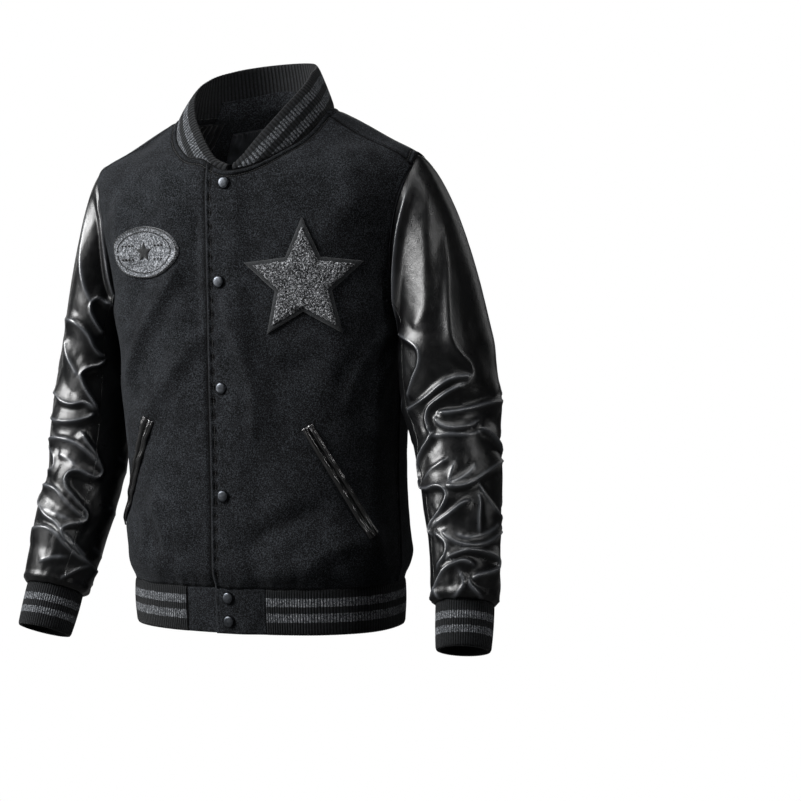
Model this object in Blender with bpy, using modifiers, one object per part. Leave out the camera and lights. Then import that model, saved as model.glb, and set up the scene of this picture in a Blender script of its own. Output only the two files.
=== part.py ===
"""A varsity jacket, filled out as if worn, with a closed wall for every cut piece.

Metres, +Z up. The front faces -Y and the wearer's left is +X. The origin is at the base of the
neck, midway between the two points where the shoulder ridges meet the collar.
Angles round the body start at centre front and grow towards the wearer's left.
Angles round a sleeve start at its outer side and grow towards its front.
"""

import math

import bmesh
import bpy
import numpy as np
from mathutils import Vector

MM = 0.001

# Cloth walls and clearances
WOOL = 2.5 * MM
LEATHER = 2.0 * MM
KNIT = 4.0 * MM
LINING = 1.0 * MM
HALF_SEAM = 0.17 * MM
COLLAR_SEAM = 1.0 * MM
LAID_ON = 1.0 * MM

# Driving sizes
LAP_REACH = 0.016
LAP_RISE = 4.6 * MM
LAP_FADE = 0.034
HEM_TOP = -0.597
HEM_BOTTOM = -0.654
ARMPIT = -0.262
NECK_FRONT = -0.083
LEFT_TAB_REACH = 0.051
RIGHT_TAB_REACH = 0.060
RIB_RISE = 0.8 * MM
CORNER_SOFTNESS = 0.12

# Horizontal sections of the body: half width at the sides, where the middle lies in y, and the
# depths in front and behind it. A squareness of 2 is an ellipse, and less hollows the section
# between centre front and the shoulder ridge.
BODY_SECTIONS = (
    # height, half_width, middle, front, back, front_squareness, back_squareness
    (0.030, 0.070, -0.008, 0.060, 0.068, 1.40, 1.70),
    (0.010, 0.086, -0.008, 0.075, 0.086, 1.38, 1.70),
    (0.000, 0.098, -0.008, 0.080, 0.097, 1.35, 1.68),
    (-0.020, 0.138, -0.009, 0.085, 0.111, 1.14, 1.62),
    (-0.045, 0.183, -0.010, 0.092, 0.121, 1.14, 1.60),
    (-0.068, 0.222, -0.010, 0.100, 0.127, 1.32, 1.62),
    (-0.085, 0.230, -0.010, 0.105, 0.131, 1.55, 1.72),
    (-0.110, 0.228, -0.009, 0.109, 0.134, 1.80, 1.88),
    (-0.150, 0.219, -0.006, 0.113, 0.135, 2.05, 2.05),
    (-0.200, 0.206, -0.002, 0.117, 0.133, 2.25, 2.25),
    (-0.262, 0.196, 0.000, 0.119, 0.130, 2.40, 2.40),
    (-0.330, 0.189, 0.000, 0.118, 0.127, 2.45, 2.45),
    (-0.400, 0.184, 0.000, 0.118, 0.126, 2.45, 2.45),
    (-0.480, 0.182, 0.000, 0.118, 0.127, 2.45, 2.45),
    (-0.550, 0.184, 0.000, 0.119, 0.129, 2.45, 2.45),
    (-0.580, 0.183, 0.000, 0.118, 0.127, 2.45, 2.45),
    (-0.597, 0.178, 0.000, 0.111, 0.119, 2.40, 2.40),
    (-0.602, 0.178, 0.000, 0.111, 0.119, 2.40, 2.40),
    (-0.654, 0.177, 0.000, 0.109, 0.117, 2.40, 2.40),
)

# The neck seam seen from above: how far it lies from the neck's middle at each body angle
LEFT_SHOULDER_DROP = 0.003
RIGHT_SHOULDER_DROP = 0.007
NECK_SEAM = (
    # body_angle, radius
    (-90, 0.1030),
    (-75, 0.1015),
    (-60, 0.1010),
    (-45, 0.1005),
    (-30, 0.1020),
    (-15, 0.1008),
    (0, 0.1045),
    (15, 0.1065),
    (30, 0.1080),
    (45, 0.1085),
    (60, 0.1095),
    (75, 0.1090),
    (90, 0.1045),
    (105, 0.0995),
    (120, 0.0960),
    (150, 0.0900),
    (180, 0.0870),
    (210, 0.0890),
    (240, 0.0935),
    (255, 0.0985),
    (270, 0.1030),
)

# The armhole seam of the wearer's left, once round from the shoulder point over the front
ARMHOLE = (
    # turn, body_angle, height
    (0, 90.0, -0.068),
    (30, 84.5, -0.084),
    (60, 80.0, -0.114),
    (90, 77.5, -0.155),
    (120, 77.5, -0.203),
    (150, 81.0, -0.246),
    (180, 90.0, -0.262),
    (210, 101.0, -0.248),
    (240, 104.5, -0.206),
    (270, 104.0, -0.160),
    (300, 101.5, -0.118),
    (330, 96.5, -0.086),
    (360, 90.0, -0.068),
)
ARMHOLE_STEPS = 24
SHOULDER_TURN = 30
YOKE_TURN = 315

# The way in which the sleeve leaves the armhole
SLEEVE_START = (
    # turn, outward, forward, up
    (0, 0.80, 0.00, -0.60),
    (90, 0.74, 0.12, -0.66),
    (180, 0.26, 0.00, -0.96),
    (270, 0.74, 0.06, -0.66),
    (360, 0.80, 0.00, -0.60),
)

# The upper edge of the collar against the body angle of the neck seam below it
COLLAR_EDGE = (
    # seam_angle, x, y, z
    (11.5, 0.0190, -0.1120, -0.0785),
    (20, 0.0288, -0.1065, -0.0670),
    (32, 0.0480, -0.0980, -0.0430),
    (47, 0.0705, -0.0750, -0.0095),
    (62, 0.0830, -0.0460, 0.0180),
    (78, 0.0810, -0.0140, 0.0380),
    (92, 0.0755, 0.0090, 0.0455),
    (120, 0.0595, 0.0410, 0.0545),
    (150, 0.0345, 0.0610, 0.0590),
    (180, 0.0010, 0.0680, 0.0600),
    (210, -0.0325, 0.0610, 0.0575),
    (240, -0.0575, 0.0400, 0.0512),
    (270, -0.0730, 0.0040, 0.0388),
    (285, -0.0755, -0.0190, 0.0275),
    (300, -0.0705, -0.0430, 0.0095),
    (315, -0.0560, -0.0670, -0.0170),
    (330, -0.0325, -0.0900, -0.0440),
    (345, -0.0110, -0.1035, -0.0670),
    (366, 0.0130, -0.1100, -0.0790),
)
COLLAR_RIBS = 144
COLLAR_BULGE = 2.0 * MM

HEM_RIBS = 240
CUFF_RIBS = 72
CUFF_LENGTH = 0.054

# Stations down each sleeve: outward distance, y, and the radii outward and forward
LEFT_ARM = (
    # height, outward, y, outward_radius, forward_radius
    (-0.285, 0.2522, -0.010, 0.0557, 0.0620),
    (-0.302, 0.2548, -0.013, 0.0583, 0.0620),
    (-0.340, 0.2590, -0.018, 0.0605, 0.0620),
    (-0.379, 0.2650, -0.020, 0.0620, 0.0600),
    (-0.418, 0.2755, -0.034, 0.0535, 0.0560),
    (-0.456, 0.2860, -0.049, 0.0516, 0.0530),
    (-0.491, 0.2923, -0.062, 0.0478, 0.0500),
    (-0.523, 0.2995, -0.075, 0.0445, 0.0475),
    (-0.567, 0.3068, -0.092, 0.0423, 0.0445),
    (-0.592, 0.3105, -0.102, 0.0415, 0.0425),
    (-0.603, 0.3112, -0.106, 0.0390, 0.0400),
    (-0.6065, 0.3118, -0.1074, 0.0345, 0.0350),
)
RIGHT_ARM = (
    # height, outward, y, outward_radius, forward_radius
    (-0.285, 0.2400, 0.000, 0.0425, 0.0620),
    (-0.302, 0.2415, 0.000, 0.0440, 0.0620),
    (-0.340, 0.2450, -0.003, 0.0480, 0.0620),
    (-0.379, 0.2475, -0.009, 0.0515, 0.0610),
    (-0.430, 0.2475, -0.022, 0.0505, 0.0580),
    (-0.469, 0.2470, -0.035, 0.0485, 0.0545),
    (-0.511, 0.2520, -0.050, 0.0480, 0.0535),
    (-0.541, 0.2560, -0.062, 0.0470, 0.0525),
    (-0.572, 0.2590, -0.074, 0.0450, 0.0500),
    (-0.599, 0.2615, -0.085, 0.0425, 0.0465),
    (-0.609, 0.2625, -0.089, 0.0412, 0.0440),
    (-0.6125, 0.2628, -0.0904, 0.0368, 0.0373),
)
CUFF_TOP_RADIUS = 0.0338
CUFF_END_RADIUS = 0.0318
RIGHT_CUFF_GROWTH = 0.0018

# Soft folds. Each is a ridge, or a trough where its rise is negative, on the unrolled surface:
# a middle, a slant, a half length, a half width and a bend that lifts or drops its two ends.
BODY_FOLD_RADIUS = 0.16
BODY_FOLDS = (
    # angle, height, slant, length, width, bend, rise
    (70, -0.175, 62, 0.045, 0.016, 0.0, 0.0022),
    (-66, -0.200, -64, 0.055, 0.016, 0.0, 0.0035),
    (58, -0.330, 55, 0.060, 0.022, 0.0, 0.0030),
    (-60, -0.340, -70, 0.080, 0.020, 0.0, 0.0030),
    (26, -0.525, 25, 0.070, 0.018, 0.0, 0.0028),
    (-32, -0.520, -28, 0.070, 0.018, 0.0, 0.0028),
    (62, -0.560, 6, 0.060, 0.014, 0.0, 0.0030),
    (-66, -0.555, -8, 0.060, 0.014, 0.0, 0.0030),
    (112, -0.300, -60, 0.090, 0.022, 0.0, 0.0035),
    (-112, -0.310, 60, 0.090, 0.022, 0.0, 0.0035),
    (150, -0.545, 10, 0.080, 0.016, 0.0, 0.0030),
    (-145, -0.550, -8, 0.080, 0.016, 0.0, 0.0030),
    (172, -0.430, 80, 0.100, 0.026, 0.0, -0.0030),
)

SLEEVE_FOLD_RADIUS = 0.052
LEFT_SLEEVE_FOLDS = (
    # turn, height, slant, length, width, bend, rise
    (40, -0.200, 86, 0.070, 0.014, 0.0, 0.0030),
    (10, -0.300, 80, 0.060, 0.013, 0.0, 0.0035),
    (70, -0.352, 40, 0.050, 0.012, 3.0, 0.0050),
    (10, -0.372, -15, 0.045, 0.011, -4.0, 0.0055),
    (85, -0.398, -4, 0.045, 0.010, 0.0, -0.0040),
    (55, -0.420, 2, 0.055, 0.010, 3.0, 0.0055),
    (5, -0.446, -30, 0.035, 0.010, -5.0, 0.0050),
    (110, -0.452, 55, 0.035, 0.010, 0.0, 0.0050),
    (60, -0.446, 0, 0.040, 0.009, 0.0, -0.0040),
    (60, -0.474, 14, 0.050, 0.010, 3.0, 0.0055),
    (0, -0.497, 8, 0.040, 0.010, 0.0, 0.0045),
    (95, -0.508, -25, 0.040, 0.010, 3.0, 0.0050),
    (45, -0.530, 12, 0.050, 0.010, -4.0, 0.0050),
    (110, -0.552, 20, 0.035, 0.010, 4.0, 0.0045),
    (20, -0.566, 4, 0.040, 0.010, -4.0, 0.0045),
    (75, -0.582, -4, 0.045, 0.009, 0.0, 0.0035),
    (-60, -0.380, 18, 0.050, 0.012, 0.0, 0.0045),
    (-75, -0.425, -14, 0.050, 0.011, 0.0, 0.0045),
    (-60, -0.470, 12, 0.045, 0.011, 0.0, 0.0045),
    (-80, -0.515, -12, 0.045, 0.011, 0.0, 0.0040),
    (-60, -0.560, 8, 0.045, 0.010, 0.0, 0.0040),
    (165, -0.360, 10, 0.045, 0.011, 0.0, -0.0040),
    (170, -0.440, -8, 0.045, 0.011, 0.0, 0.0040),
    (175, -0.500, 8, 0.045, 0.011, 0.0, 0.0040),
    (170, -0.550, -6, 0.045, 0.010, 0.0, 0.0035),
)
RIGHT_SLEEVE_FOLDS = (
    # turn, height, slant, length, width, bend, rise
    (75, -0.205, 82, 0.070, 0.014, 0.0, 0.0030),
    (40, -0.290, 25, 0.050, 0.012, -3.0, 0.0045),
    (80, -0.318, 30, 0.045, 0.011, 3.0, 0.0045),
    (55, -0.345, 14, 0.050, 0.011, 0.0, 0.0050),
    (100, -0.372, 35, 0.040, 0.011, 0.0, 0.0050),
    (50, -0.392, 4, 0.050, 0.010, 3.0, 0.0050),
    (120, -0.412, 14, 0.045, 0.010, 0.0, 0.0050),
    (55, -0.428, 6, 0.050, 0.010, -3.0, 0.0050),
    (90, -0.456, -10, 0.050, 0.010, -4.0, 0.0055),
    (45, -0.474, 30, 0.035, 0.010, 0.0, 0.0045),
    (125, -0.492, 26, 0.040, 0.010, 0.0, 0.0050),
    (75, -0.512, 22, 0.050, 0.010, 0.0, 0.0055),
    (50, -0.540, -12, 0.040, 0.010, -3.0, 0.0045),
    (110, -0.548, 30, 0.045, 0.010, 3.0, 0.0050),
    (70, -0.575, 10, 0.045, 0.010, 0.0, 0.0045),
    (120, -0.594, 8, 0.035, 0.009, 0.0, 0.0040),
    (-60, -0.370, -18, 0.050, 0.012, 0.0, 0.0045),
    (-75, -0.420, 14, 0.050, 0.011, 0.0, 0.0045),
    (-60, -0.468, -12, 0.045, 0.011, 0.0, 0.0045),
    (-80, -0.520, 12, 0.045, 0.011, 0.0, 0.0040),
    (-60, -0.570, -8, 0.045, 0.010, 0.0, 0.0040),
    (170, -0.450, 8, 0.045, 0.011, 0.0, 0.0040),
    (175, -0.510, -8, 0.045, 0.011, 0.0, 0.0040),
    (170, -0.565, 6, 0.045, 0.010, 0.0, 0.0035),
)

# How fully the sleeve's cap stands out, and how long it hangs straight at its end
LEFT_CAP_FULLNESS = 0.70
RIGHT_CAP_FULLNESS = 0.40
CAP_DROP = 0.75
# Where the rows of the sleeves run
CAP_ROWS = 4
UPPER_ARM_ROWS = 3
CRUMPLED_FROM = -0.345
CRUMPLED_ROWS = 17
UNDER_FROM = 135
UNDER_TO = 255

SIDE_ROWS = 9
FRONT_COLUMNS = 10
BACK_COLUMNS = 16
YOKE_ROWS = 4

# Trims on the fronts: distance round the chest from centre front, and height
SNAPS = (
    # across, height
    (0.0110, -0.1015),
    (0.0025, -0.221),
    (0.0025, -0.351),
    (0.0020, -0.483),
    (0.0025, -0.609),
    (0.0025, -0.638),
)
SNAP_PROFILE = (
    # radius, height
    (0.0000, 3.4 * MM),
    (5.2 * MM, 2.7 * MM),
    (7.2 * MM, 2.2 * MM),
    (7.8 * MM, 1.1 * MM),
    (7.6 * MM, 0.0),
    (0.0000, 0.0),
)
SNAP_SIDES = 12
SNAP_STAND_OFF = 0.45 * MM

WELT_TOP = (0.110, -0.3980)
WELT_BOTTOM = (0.188, -0.5330)
RIGHT_WELT_LIFT = 0.008
WELT_WIDTH = 0.017
WELT_COLUMNS = 12
WELT_PROFILE = (
    # across, rise
    (-1.00, 0.8 * MM),
    (-0.72, 2.4 * MM),
    (-0.30, 2.5 * MM),
    (0.00, 0.9 * MM),
    (0.30, 2.5 * MM),
    (0.72, 2.4 * MM),
    (1.00, 0.8 * MM),
)
WELT_END_FILL = 0.16

STAR_CENTRE = (0.109, -0.2225)
STAR_RADIUS = 0.066
STAR_NOTCH = 0.47
STAR_BORDER = 5.0 * MM
STAR_LIFT = 1.7 * MM
STAR_FELT_RISE = 1.6 * MM
STAR_PILE_EDGE = 2.0 * MM
STAR_PILE_RISE = 4.0 * MM

BADGE_CENTRE = (0.1108, -0.1825)
BADGE_HALF = (0.054, 0.032)
BADGE_RIM_RISE = 2.4 * MM
BADGE_FIELD_RISE = 1.5 * MM
BADGE_STAR_RADIUS = 0.013
BADGE_STAR_RISE = 1.4 * MM

FACING_HALF_COLUMNS = 6
LABEL_HALF_COLUMNS = 4
FACING = 2.0 * MM
LABEL = 0.8 * MM

COLOURS = {
    # colour, roughness, metallic
    "wool": ((0.012, 0.013, 0.014), 0.95, 0.0),
    "leather": ((0.006, 0.006, 0.007), 0.25, 0.0),
    "knit": ((0.014, 0.015, 0.017), 0.90, 0.0),
    "pile": ((0.090, 0.095, 0.102), 0.95, 0.0),
    "felt": ((0.030, 0.031, 0.034), 0.95, 0.0),
    "badge": ((0.075, 0.080, 0.086), 0.90, 0.0),
    "metal": ((0.080, 0.085, 0.092), 0.30, 1.0),
    "lining": ((0.008, 0.008, 0.009), 0.45, 0.0),
    "satin": ((0.030, 0.032, 0.035), 0.50, 0.0),
}


# Curves and surfaces


def curve_through(rows, columns=slice(1, None), repeats=False):
    """A smooth function of a table's first column through its other columns."""
    table = np.array(sorted(rows), float)
    at = table[:, 0]
    values = table[:, columns]
    if repeats:
        step = at[-1] - at[0]
        at = np.concatenate([at[-3:-1] - step, at, at[1:3] + step])
        values = np.concatenate([values[-3:-1], values, values[1:3]])
    slopes = np.gradient(values, at, axis=0)

    def value(x):
        x = np.asarray(x, float)
        i = np.clip(np.searchsorted(at, x, side="right") - 1, 0, len(at) - 2)
        step = at[i + 1] - at[i]
        u = ((x - at[i]) / step)[..., None]
        step = step[..., None]
        return (
            values[i] * (1 + 2 * u) * (1 - u) ** 2
            + values[i + 1] * u * u * (3 - 2 * u)
            + slopes[i] * step * u * (1 - u) ** 2
            - slopes[i + 1] * step * u * u * (1 - u)
        )

    return value


BODY_AT = curve_through(BODY_SECTIONS)
NECK_AT = curve_through(NECK_SEAM, repeats=True)
ARMHOLE_AT = curve_through(ARMHOLE, repeats=True)
SLEEVE_START_AT = curve_through(SLEEVE_START, repeats=True)
COLLAR_EDGE_AT = curve_through(COLLAR_EDGE)


def unit(v):
    """Vectors of length one along the last axis."""
    return v / np.linalg.norm(v, axis=-1, keepdims=True)


def folded(folds, radius, turn, height):
    """How far a set of folds lifts the surface at a turn, in degrees, and a height."""
    lift = np.zeros(np.broadcast(turn, height).shape)
    for middle, level, slant, length, width, bend, rise in folds:
        across = np.radians((turn - middle + 180) % 360 - 180) * radius
        up = height - level
        c = math.cos(math.radians(slant))
        s = math.sin(math.radians(slant))
        along = across * c + up * s
        off = up * c - across * s - bend * along * along
        lift += rise * np.exp(-((along / length) ** 2) - (off / width) ** 2)
    return lift


def smooth(x):
    x = np.clip(x, 0, 1)
    return x * x * (3 - 2 * x)


def softened(share, power):
    """share ** power, rounded off near zero so that no section has a sharp corner."""
    square = CORNER_SOFTNESS**2
    least = square ** (power / 2)
    return ((share * share + square) ** (power / 2) - least) / ((1 + square) ** (power / 2) - least)


def body_point(angle, height):
    """The cloth's outer face at an angle round the body, in degrees, and a height."""
    angle, height = np.broadcast_arrays(np.asarray(angle, float), np.asarray(height, float))
    sine = np.sin(np.radians(angle))
    drop = np.where(sine > 0, LEFT_SHOULDER_DROP, RIGHT_SHOULDER_DROP) * sine**2
    higher = height + drop * smooth((height + 0.095) / 0.06)
    columns = np.moveaxis(BODY_AT(higher), -1, 0)
    half_width, middle, front, back, front_squareness, back_squareness = columns
    cosine = np.cos(np.radians(angle))
    depth = np.where(cosine > 0, front, back)
    squareness = np.where(cosine > 0, front_squareness, back_squareness)
    side = softened(sine, squareness) / half_width**squareness
    ahead = softened(cosine, squareness) / depth**squareness
    radius = (side + ahead) ** (-1 / squareness)
    radius = radius + folded(BODY_FOLDS, BODY_FOLD_RADIUS, angle, height)
    return np.stack([radius * sine, middle - radius * cosine, height], axis=-1)


def body_normal(angle, height):
    """The outward direction of the cloth there."""
    turn_step, height_step = 0.5, 0.002
    round_it = body_point(angle + turn_step, height) - body_point(angle - turn_step, height)
    up_it = body_point(angle, height + height_step) - body_point(angle, height - height_step)
    return unit(np.cross(round_it, up_it))


def neck_height(angle):
    """How high the body is where the neck seam crosses it at a body angle."""
    angle = np.asarray(angle, float)
    turn = (angle + 90) % 360 - 90
    radius = NECK_AT(turn)[..., 0]
    heights = np.linspace(-0.100, 0.028, 65)
    middle = BODY_AT(heights)[:, 1]
    points = body_point(angle[..., None], heights)
    reach = np.hypot(points[..., 0], points[..., 1] - middle)
    pairs = zip(radius.ravel(), reach.reshape(-1, len(heights)))
    found = [np.interp(-r, -row, heights) for r, row in pairs]
    return np.reshape(found, angle.shape)


def lap_rise(x):
    """How far the wearer's left front stands proud where it laps over the right."""
    share = np.clip((x - LAP_REACH) / LAP_FADE, 0, 1)
    return LAP_RISE * (1 - share * share * (3 - 2 * share))


def edge_angle(x, height):
    """The angle at which the front's surface is at a given x."""
    angles = np.linspace(-40, 40, 161)
    reach = body_point(angles, height)[:, 0]
    return float(np.interp(x, reach, angles))


def chest_angle(across, height):
    """The angle at which the chest is a given distance round from centre front."""
    angles = np.linspace(0, 100, 201)
    steps = np.linalg.norm(np.diff(body_point(angles, height), axis=0), axis=1)
    arc = np.concatenate([[0], np.cumsum(steps)])
    return math.copysign(float(np.interp(abs(across), arc, angles)), across)


# Building closed walls


def colour(name):
    tint, roughness, metallic = COLOURS[name]
    material = bpy.data.materials.new(name)
    material.use_nodes = True
    shader = material.node_tree.nodes["Principled BSDF"]
    shader.inputs["Base Color"].default_value = (*tint, 1)
    shader.inputs["Roughness"].default_value = roughness
    shader.inputs["Metallic"].default_value = metallic
    return material


def add_piece(name, mesh, finish):
    piece = bpy.data.objects.new(name, mesh)
    mesh.materials.append(colour(finish))
    JACKET.objects.link(piece)
    return piece


def zip_rows(one, other):
    """Triangles between two rows of vertices that may differ in number."""
    faces = []
    i = j = 0
    last_i, last_j = len(one) - 1, len(other) - 1
    while i < last_i or j < last_j:
        if j == last_j or (i < last_i and (i + 1) * last_j <= (j + 1) * last_i):
            faces.append((one[i], one[i + 1], other[j]))
            i += 1
        else:
            faces.append((one[i], other[j + 1], other[j]))
            j += 1
    return faces


def cloth_wall(name, outer, inner, finish, closed=False):
    """A closed wall between an outer and an inner net of points with as many rows.

    A closed net runs on from its last column to its first.
    """
    rows = len(outer)
    mesh = bmesh.new()
    nets = []
    for net in (outer, inner):
        lines = [[mesh.verts.new(p) for p in line] for line in np.asarray(net)]
        if closed:
            lines = [[*line, line[0]] for line in lines]
        nets.append(lines)
        for a, b in zip(lines, lines[1:]):
            for face in zip(a, a[1:], b[1:], b):
                mesh.faces.new(face)
    near, far = nets
    rims = zip_rows(near[0], far[0]) + zip_rows(near[-1], far[-1])
    if not closed:
        for k in range(rows - 1):
            for column in (0, -1):
                rims.append((near[k][column], near[k + 1][column], far[k + 1][column]))
                rims.append((near[k][column], far[k + 1][column], far[k][column]))
    for face in rims:
        mesh.faces.new(face)
    bmesh.ops.recalc_face_normals(mesh, faces=mesh.faces)
    data = bpy.data.meshes.new(name)
    mesh.to_mesh(data)
    mesh.free()
    return add_piece(name, data, finish)


def drawn_in(net, sides):
    """The net with the named sides moved in by half a seam's gap.

    Sides are 0 first row, 1 last row, 2 first column and 3 last column.
    """
    moved = net.copy()
    ends = {0: (0, 1, 0), 1: (-1, -2, 0), 2: (0, 1, 1), 3: (-1, -2, 1)}
    for side in sides:
        edge, beside, axis = ends[side]
        a = np.take(net, edge, axis=axis)
        b = np.take(net, beside, axis=axis)
        shift = HALF_SEAM * unit(b - a)
        if axis == 0:
            moved[edge] += shift
        else:
            moved[:, edge] += shift
    return moved


# Seams that pieces share


def armhole_turns():
    return np.arange(ARMHOLE_STEPS + 1) * 360 / ARMHOLE_STEPS


def armhole_point(turn, side):
    """A point of the armhole seam, its body normal and its mitred wall direction."""
    angle, height = np.moveaxis(ARMHOLE_AT(turn), -1, 0)
    angle = angle * side
    point = body_point(angle, height)
    normal = body_normal(angle, height)
    step = 2.0
    before_angle, before_height = np.moveaxis(ARMHOLE_AT((turn - step) % 360), -1, 0)
    after_angle, after_height = np.moveaxis(ARMHOLE_AT((turn + step) % 360), -1, 0)
    along = body_point(after_angle * side, after_height)
    along = unit(along - body_point(before_angle * side, before_height))
    leaving = sleeve_start(turn, side)
    sleeve_out = unit(np.cross(along, leaving)) * side
    return point, mitre(normal, sleeve_out)


def sleeve_start(turn, side):
    outward, forward, up = np.moveaxis(SLEEVE_START_AT(turn), -1, 0)
    return unit(np.stack([side * outward, -forward, up], axis=-1))


def mitre(one, other):
    """The direction that halves the angle between two walls, longer where they fold sharply."""
    longest = 1.5
    middle = unit(one + other)
    cosine = np.sum(middle * one, axis=-1, keepdims=True)
    return middle / np.maximum(cosine, 1 / longest)


def neck_point(angle):
    """A point of the neck seam, and its mitred wall direction, at a body angle."""
    angle = np.asarray(angle, float)
    height = neck_height(angle)
    point = body_point(angle, height)
    step = 1.0
    along = unit(body_point(angle + step, neck_height(angle + step)) - point)
    collar_out = unit(np.cross(along, collar_edge(angle) - point))
    normal = body_normal(angle, height)
    has_collar = (angle > COLLAR_EDGE[0][0])[..., None]
    return point, np.where(has_collar, mitre(normal, collar_out), normal)


def collar_edge(angle):
    """A point of the collar's upper edge above the neck seam at a body angle."""
    return COLLAR_EDGE_AT(np.clip(angle, COLLAR_EDGE[0][0], COLLAR_EDGE[-1][0]))


# Where the fronts' and the yoke's rows meet the neck seam and the armholes
SHOULDER_NECK_ANGLE = 78
FRONT_NECK_STEPS = 6
FRONT_EDGE_STEPS = 4


def spaced_body(first, last, steps):
    """Body angles and heights on a straight line of the unrolled surface."""
    share = np.linspace(0, 1, steps + 1)[:, None]
    return np.array(first) * (1 - share) + np.array(last) * share


def front_neck_angles():
    """Where a front's net meets the neck seam, from centre front to the shoulder seam."""
    return np.linspace(0, SHOULDER_NECK_ANGLE, FRONT_NECK_STEPS)


def front_net(side, edge_x):
    """Angles and heights of a front panel's net, with rows from the hem to the shoulder."""
    side_heights = np.linspace(HEM_TOP, ARMPIT, SIDE_ROWS + 1)
    lower = [(edge_angle(edge_x * side, h), h) for h in side_heights]
    top = float(neck_height(edge_angle(edge_x * side, NECK_FRONT)))
    edge_heights = np.linspace(ARMPIT, top, FRONT_EDGE_STEPS + 1)
    edge = [(edge_angle(edge_x * side, h), h) for h in edge_heights[1:]]
    neck = [(a * side, float(neck_height(a * side))) for a in front_neck_angles()]
    near = lower + edge + neck
    turns = np.arange(180, SHOULDER_TURN - 1, -360 / ARMHOLE_STEPS)
    seam = [(90.0 * side, h) for h in side_heights]
    armhole = [(a * side, h) for a, h in ARMHOLE_AT(turns)[1:]]
    far = seam + armhole
    return np.array([spaced_body(a, b, FRONT_COLUMNS) for a, b in zip(near, far)])


def panel_points(net, lapped=False):
    """The outer points and the outward directions of a net of body angles and heights."""
    angle, height = net[..., 0], net[..., 1]
    points = body_point(angle, height)
    normals = body_normal(angle, height)
    if lapped:
        points = points + normals * lap_rise(points[..., 0])[..., None]
    return points, normals


def level(normals):
    """Directions laid level, so that an edge's end face is level too."""
    flat = normals.copy()
    flat[..., 2] = 0
    return unit(flat)


def front(name, side, edge_x, lapped):
    net = front_net(side, edge_x)
    points, normals = panel_points(net, lapped)
    turns = np.arange(180, SHOULDER_TURN - 1, -360 / ARMHOLE_STEPS)
    armhole, slanted = armhole_point(turns, side)
    normals[SIDE_ROWS:, -1] = slanted
    first_neck = SIDE_ROWS + FRONT_EDGE_STEPS
    angles = net[first_neck:, 0, 0] + (0 if side > 0 else 360)
    normals[0] = level(normals[0])
    points[-1], normals[-1] = shoulder_seam(side, lapped)
    normals[-1, -1] = slanted[-1]
    normals[first_neck:, 0] = neck_point(angles)[1]
    moved = drawn_in(points, (0, 1, 3))
    moved[first_neck:, 0] = drawn_in(points, (2,))[first_neck:, 0]
    return cloth_wall(name, moved, moved - WOOL * normals, "wool")


def shoulder_seam(side, lapped):
    """The front edge of the yoke, as the front's last row follows it, straight between points."""
    net = yoke_net()[0]
    points, normals = panel_points(net[:, 0 if side > 0 else -1])
    places = np.linspace(0, YOKE_ROWS, FRONT_COLUMNS + 1)
    rows = np.arange(YOKE_ROWS + 1)
    both = [np.array([np.interp(places, rows, v[:, k]) for k in range(3)]).T for v in (points, normals)]
    return both[0], unit(both[1])


def yoke_seam_ends():
    angle, height = ARMHOLE_AT(YOKE_TURN)
    return float(angle), float(height)


def yoke_seam():
    """Angles and heights along the seam between yoke and back, from left to right."""
    start, height = yoke_seam_ends()
    dip = 0.004
    angles = np.linspace(start, 360 - start, BACK_COLUMNS + 1)
    share = np.linspace(-1, 1, BACK_COLUMNS + 1)
    return np.stack([angles, height + dip * (1 - share**2)], axis=-1)


def back_net():
    """Angles and heights of the back's net, with rows from the hem to the yoke seam."""
    side_heights = np.linspace(HEM_TOP, ARMPIT, SIDE_ROWS + 1)
    turns = np.arange(180, YOKE_TURN + 1, 360 / ARMHOLE_STEPS)
    near = [(90.0, h) for h in side_heights] + [tuple(p) for p in ARMHOLE_AT(turns)[1:]]
    net = np.array([spaced_body(p, (360 - p[0], p[1]), BACK_COLUMNS) for p in near])
    seam = yoke_seam()
    top_rows = 4
    for k in range(top_rows):
        share = (top_rows - k) / top_rows
        row = len(net) - 1 - k
        net[row, :, 1] += share * (seam[:, 1] - seam[0, 1])
    return net


def back(name):
    net = back_net()
    points, normals = panel_points(net)
    turns = np.arange(180, YOKE_TURN + 1, 360 / ARMHOLE_STEPS)
    normals[SIDE_ROWS:, 0] = armhole_point(turns, 1)[1]
    normals[SIDE_ROWS:, -1] = armhole_point(turns, -1)[1]
    normals[0] = level(normals[0])
    moved = drawn_in(points, (0, 1, 2, 3))
    return cloth_wall(name, moved, moved - WOOL * normals, "wool")


def yoke_net():
    """Angles and heights of the yoke's net, with rows from the neck seam to the outer seams."""
    turns = np.arange(SHOULDER_TURN, -(360 - YOKE_TURN) - 1, -360 / ARMHOLE_STEPS)
    left = np.array([tuple(p) for p in ARMHOLE_AT(turns % 360)])
    right = left[::-1] * (-1, 1) + (360, 0)
    outer = np.concatenate([left[:-1], yoke_seam(), right[1:]])
    steps = len(outer) - 1
    arm = len(left) - 1
    bend_angle = 112.0
    left_neck = np.linspace(SHOULDER_NECK_ANGLE, bend_angle, arm + 1)
    middle = np.linspace(bend_angle, 360 - bend_angle, BACK_COLUMNS + 1)
    right_neck = 360 - left_neck[::-1]
    angles = np.concatenate([left_neck[:-1], middle, right_neck[1:]])
    inner = np.stack([angles, neck_height(angles)], axis=-1)
    share = np.linspace(0, 1, YOKE_ROWS + 1)[:, None, None]
    return inner[None] * (1 - share) + outer[None] * share, arm, steps


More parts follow.
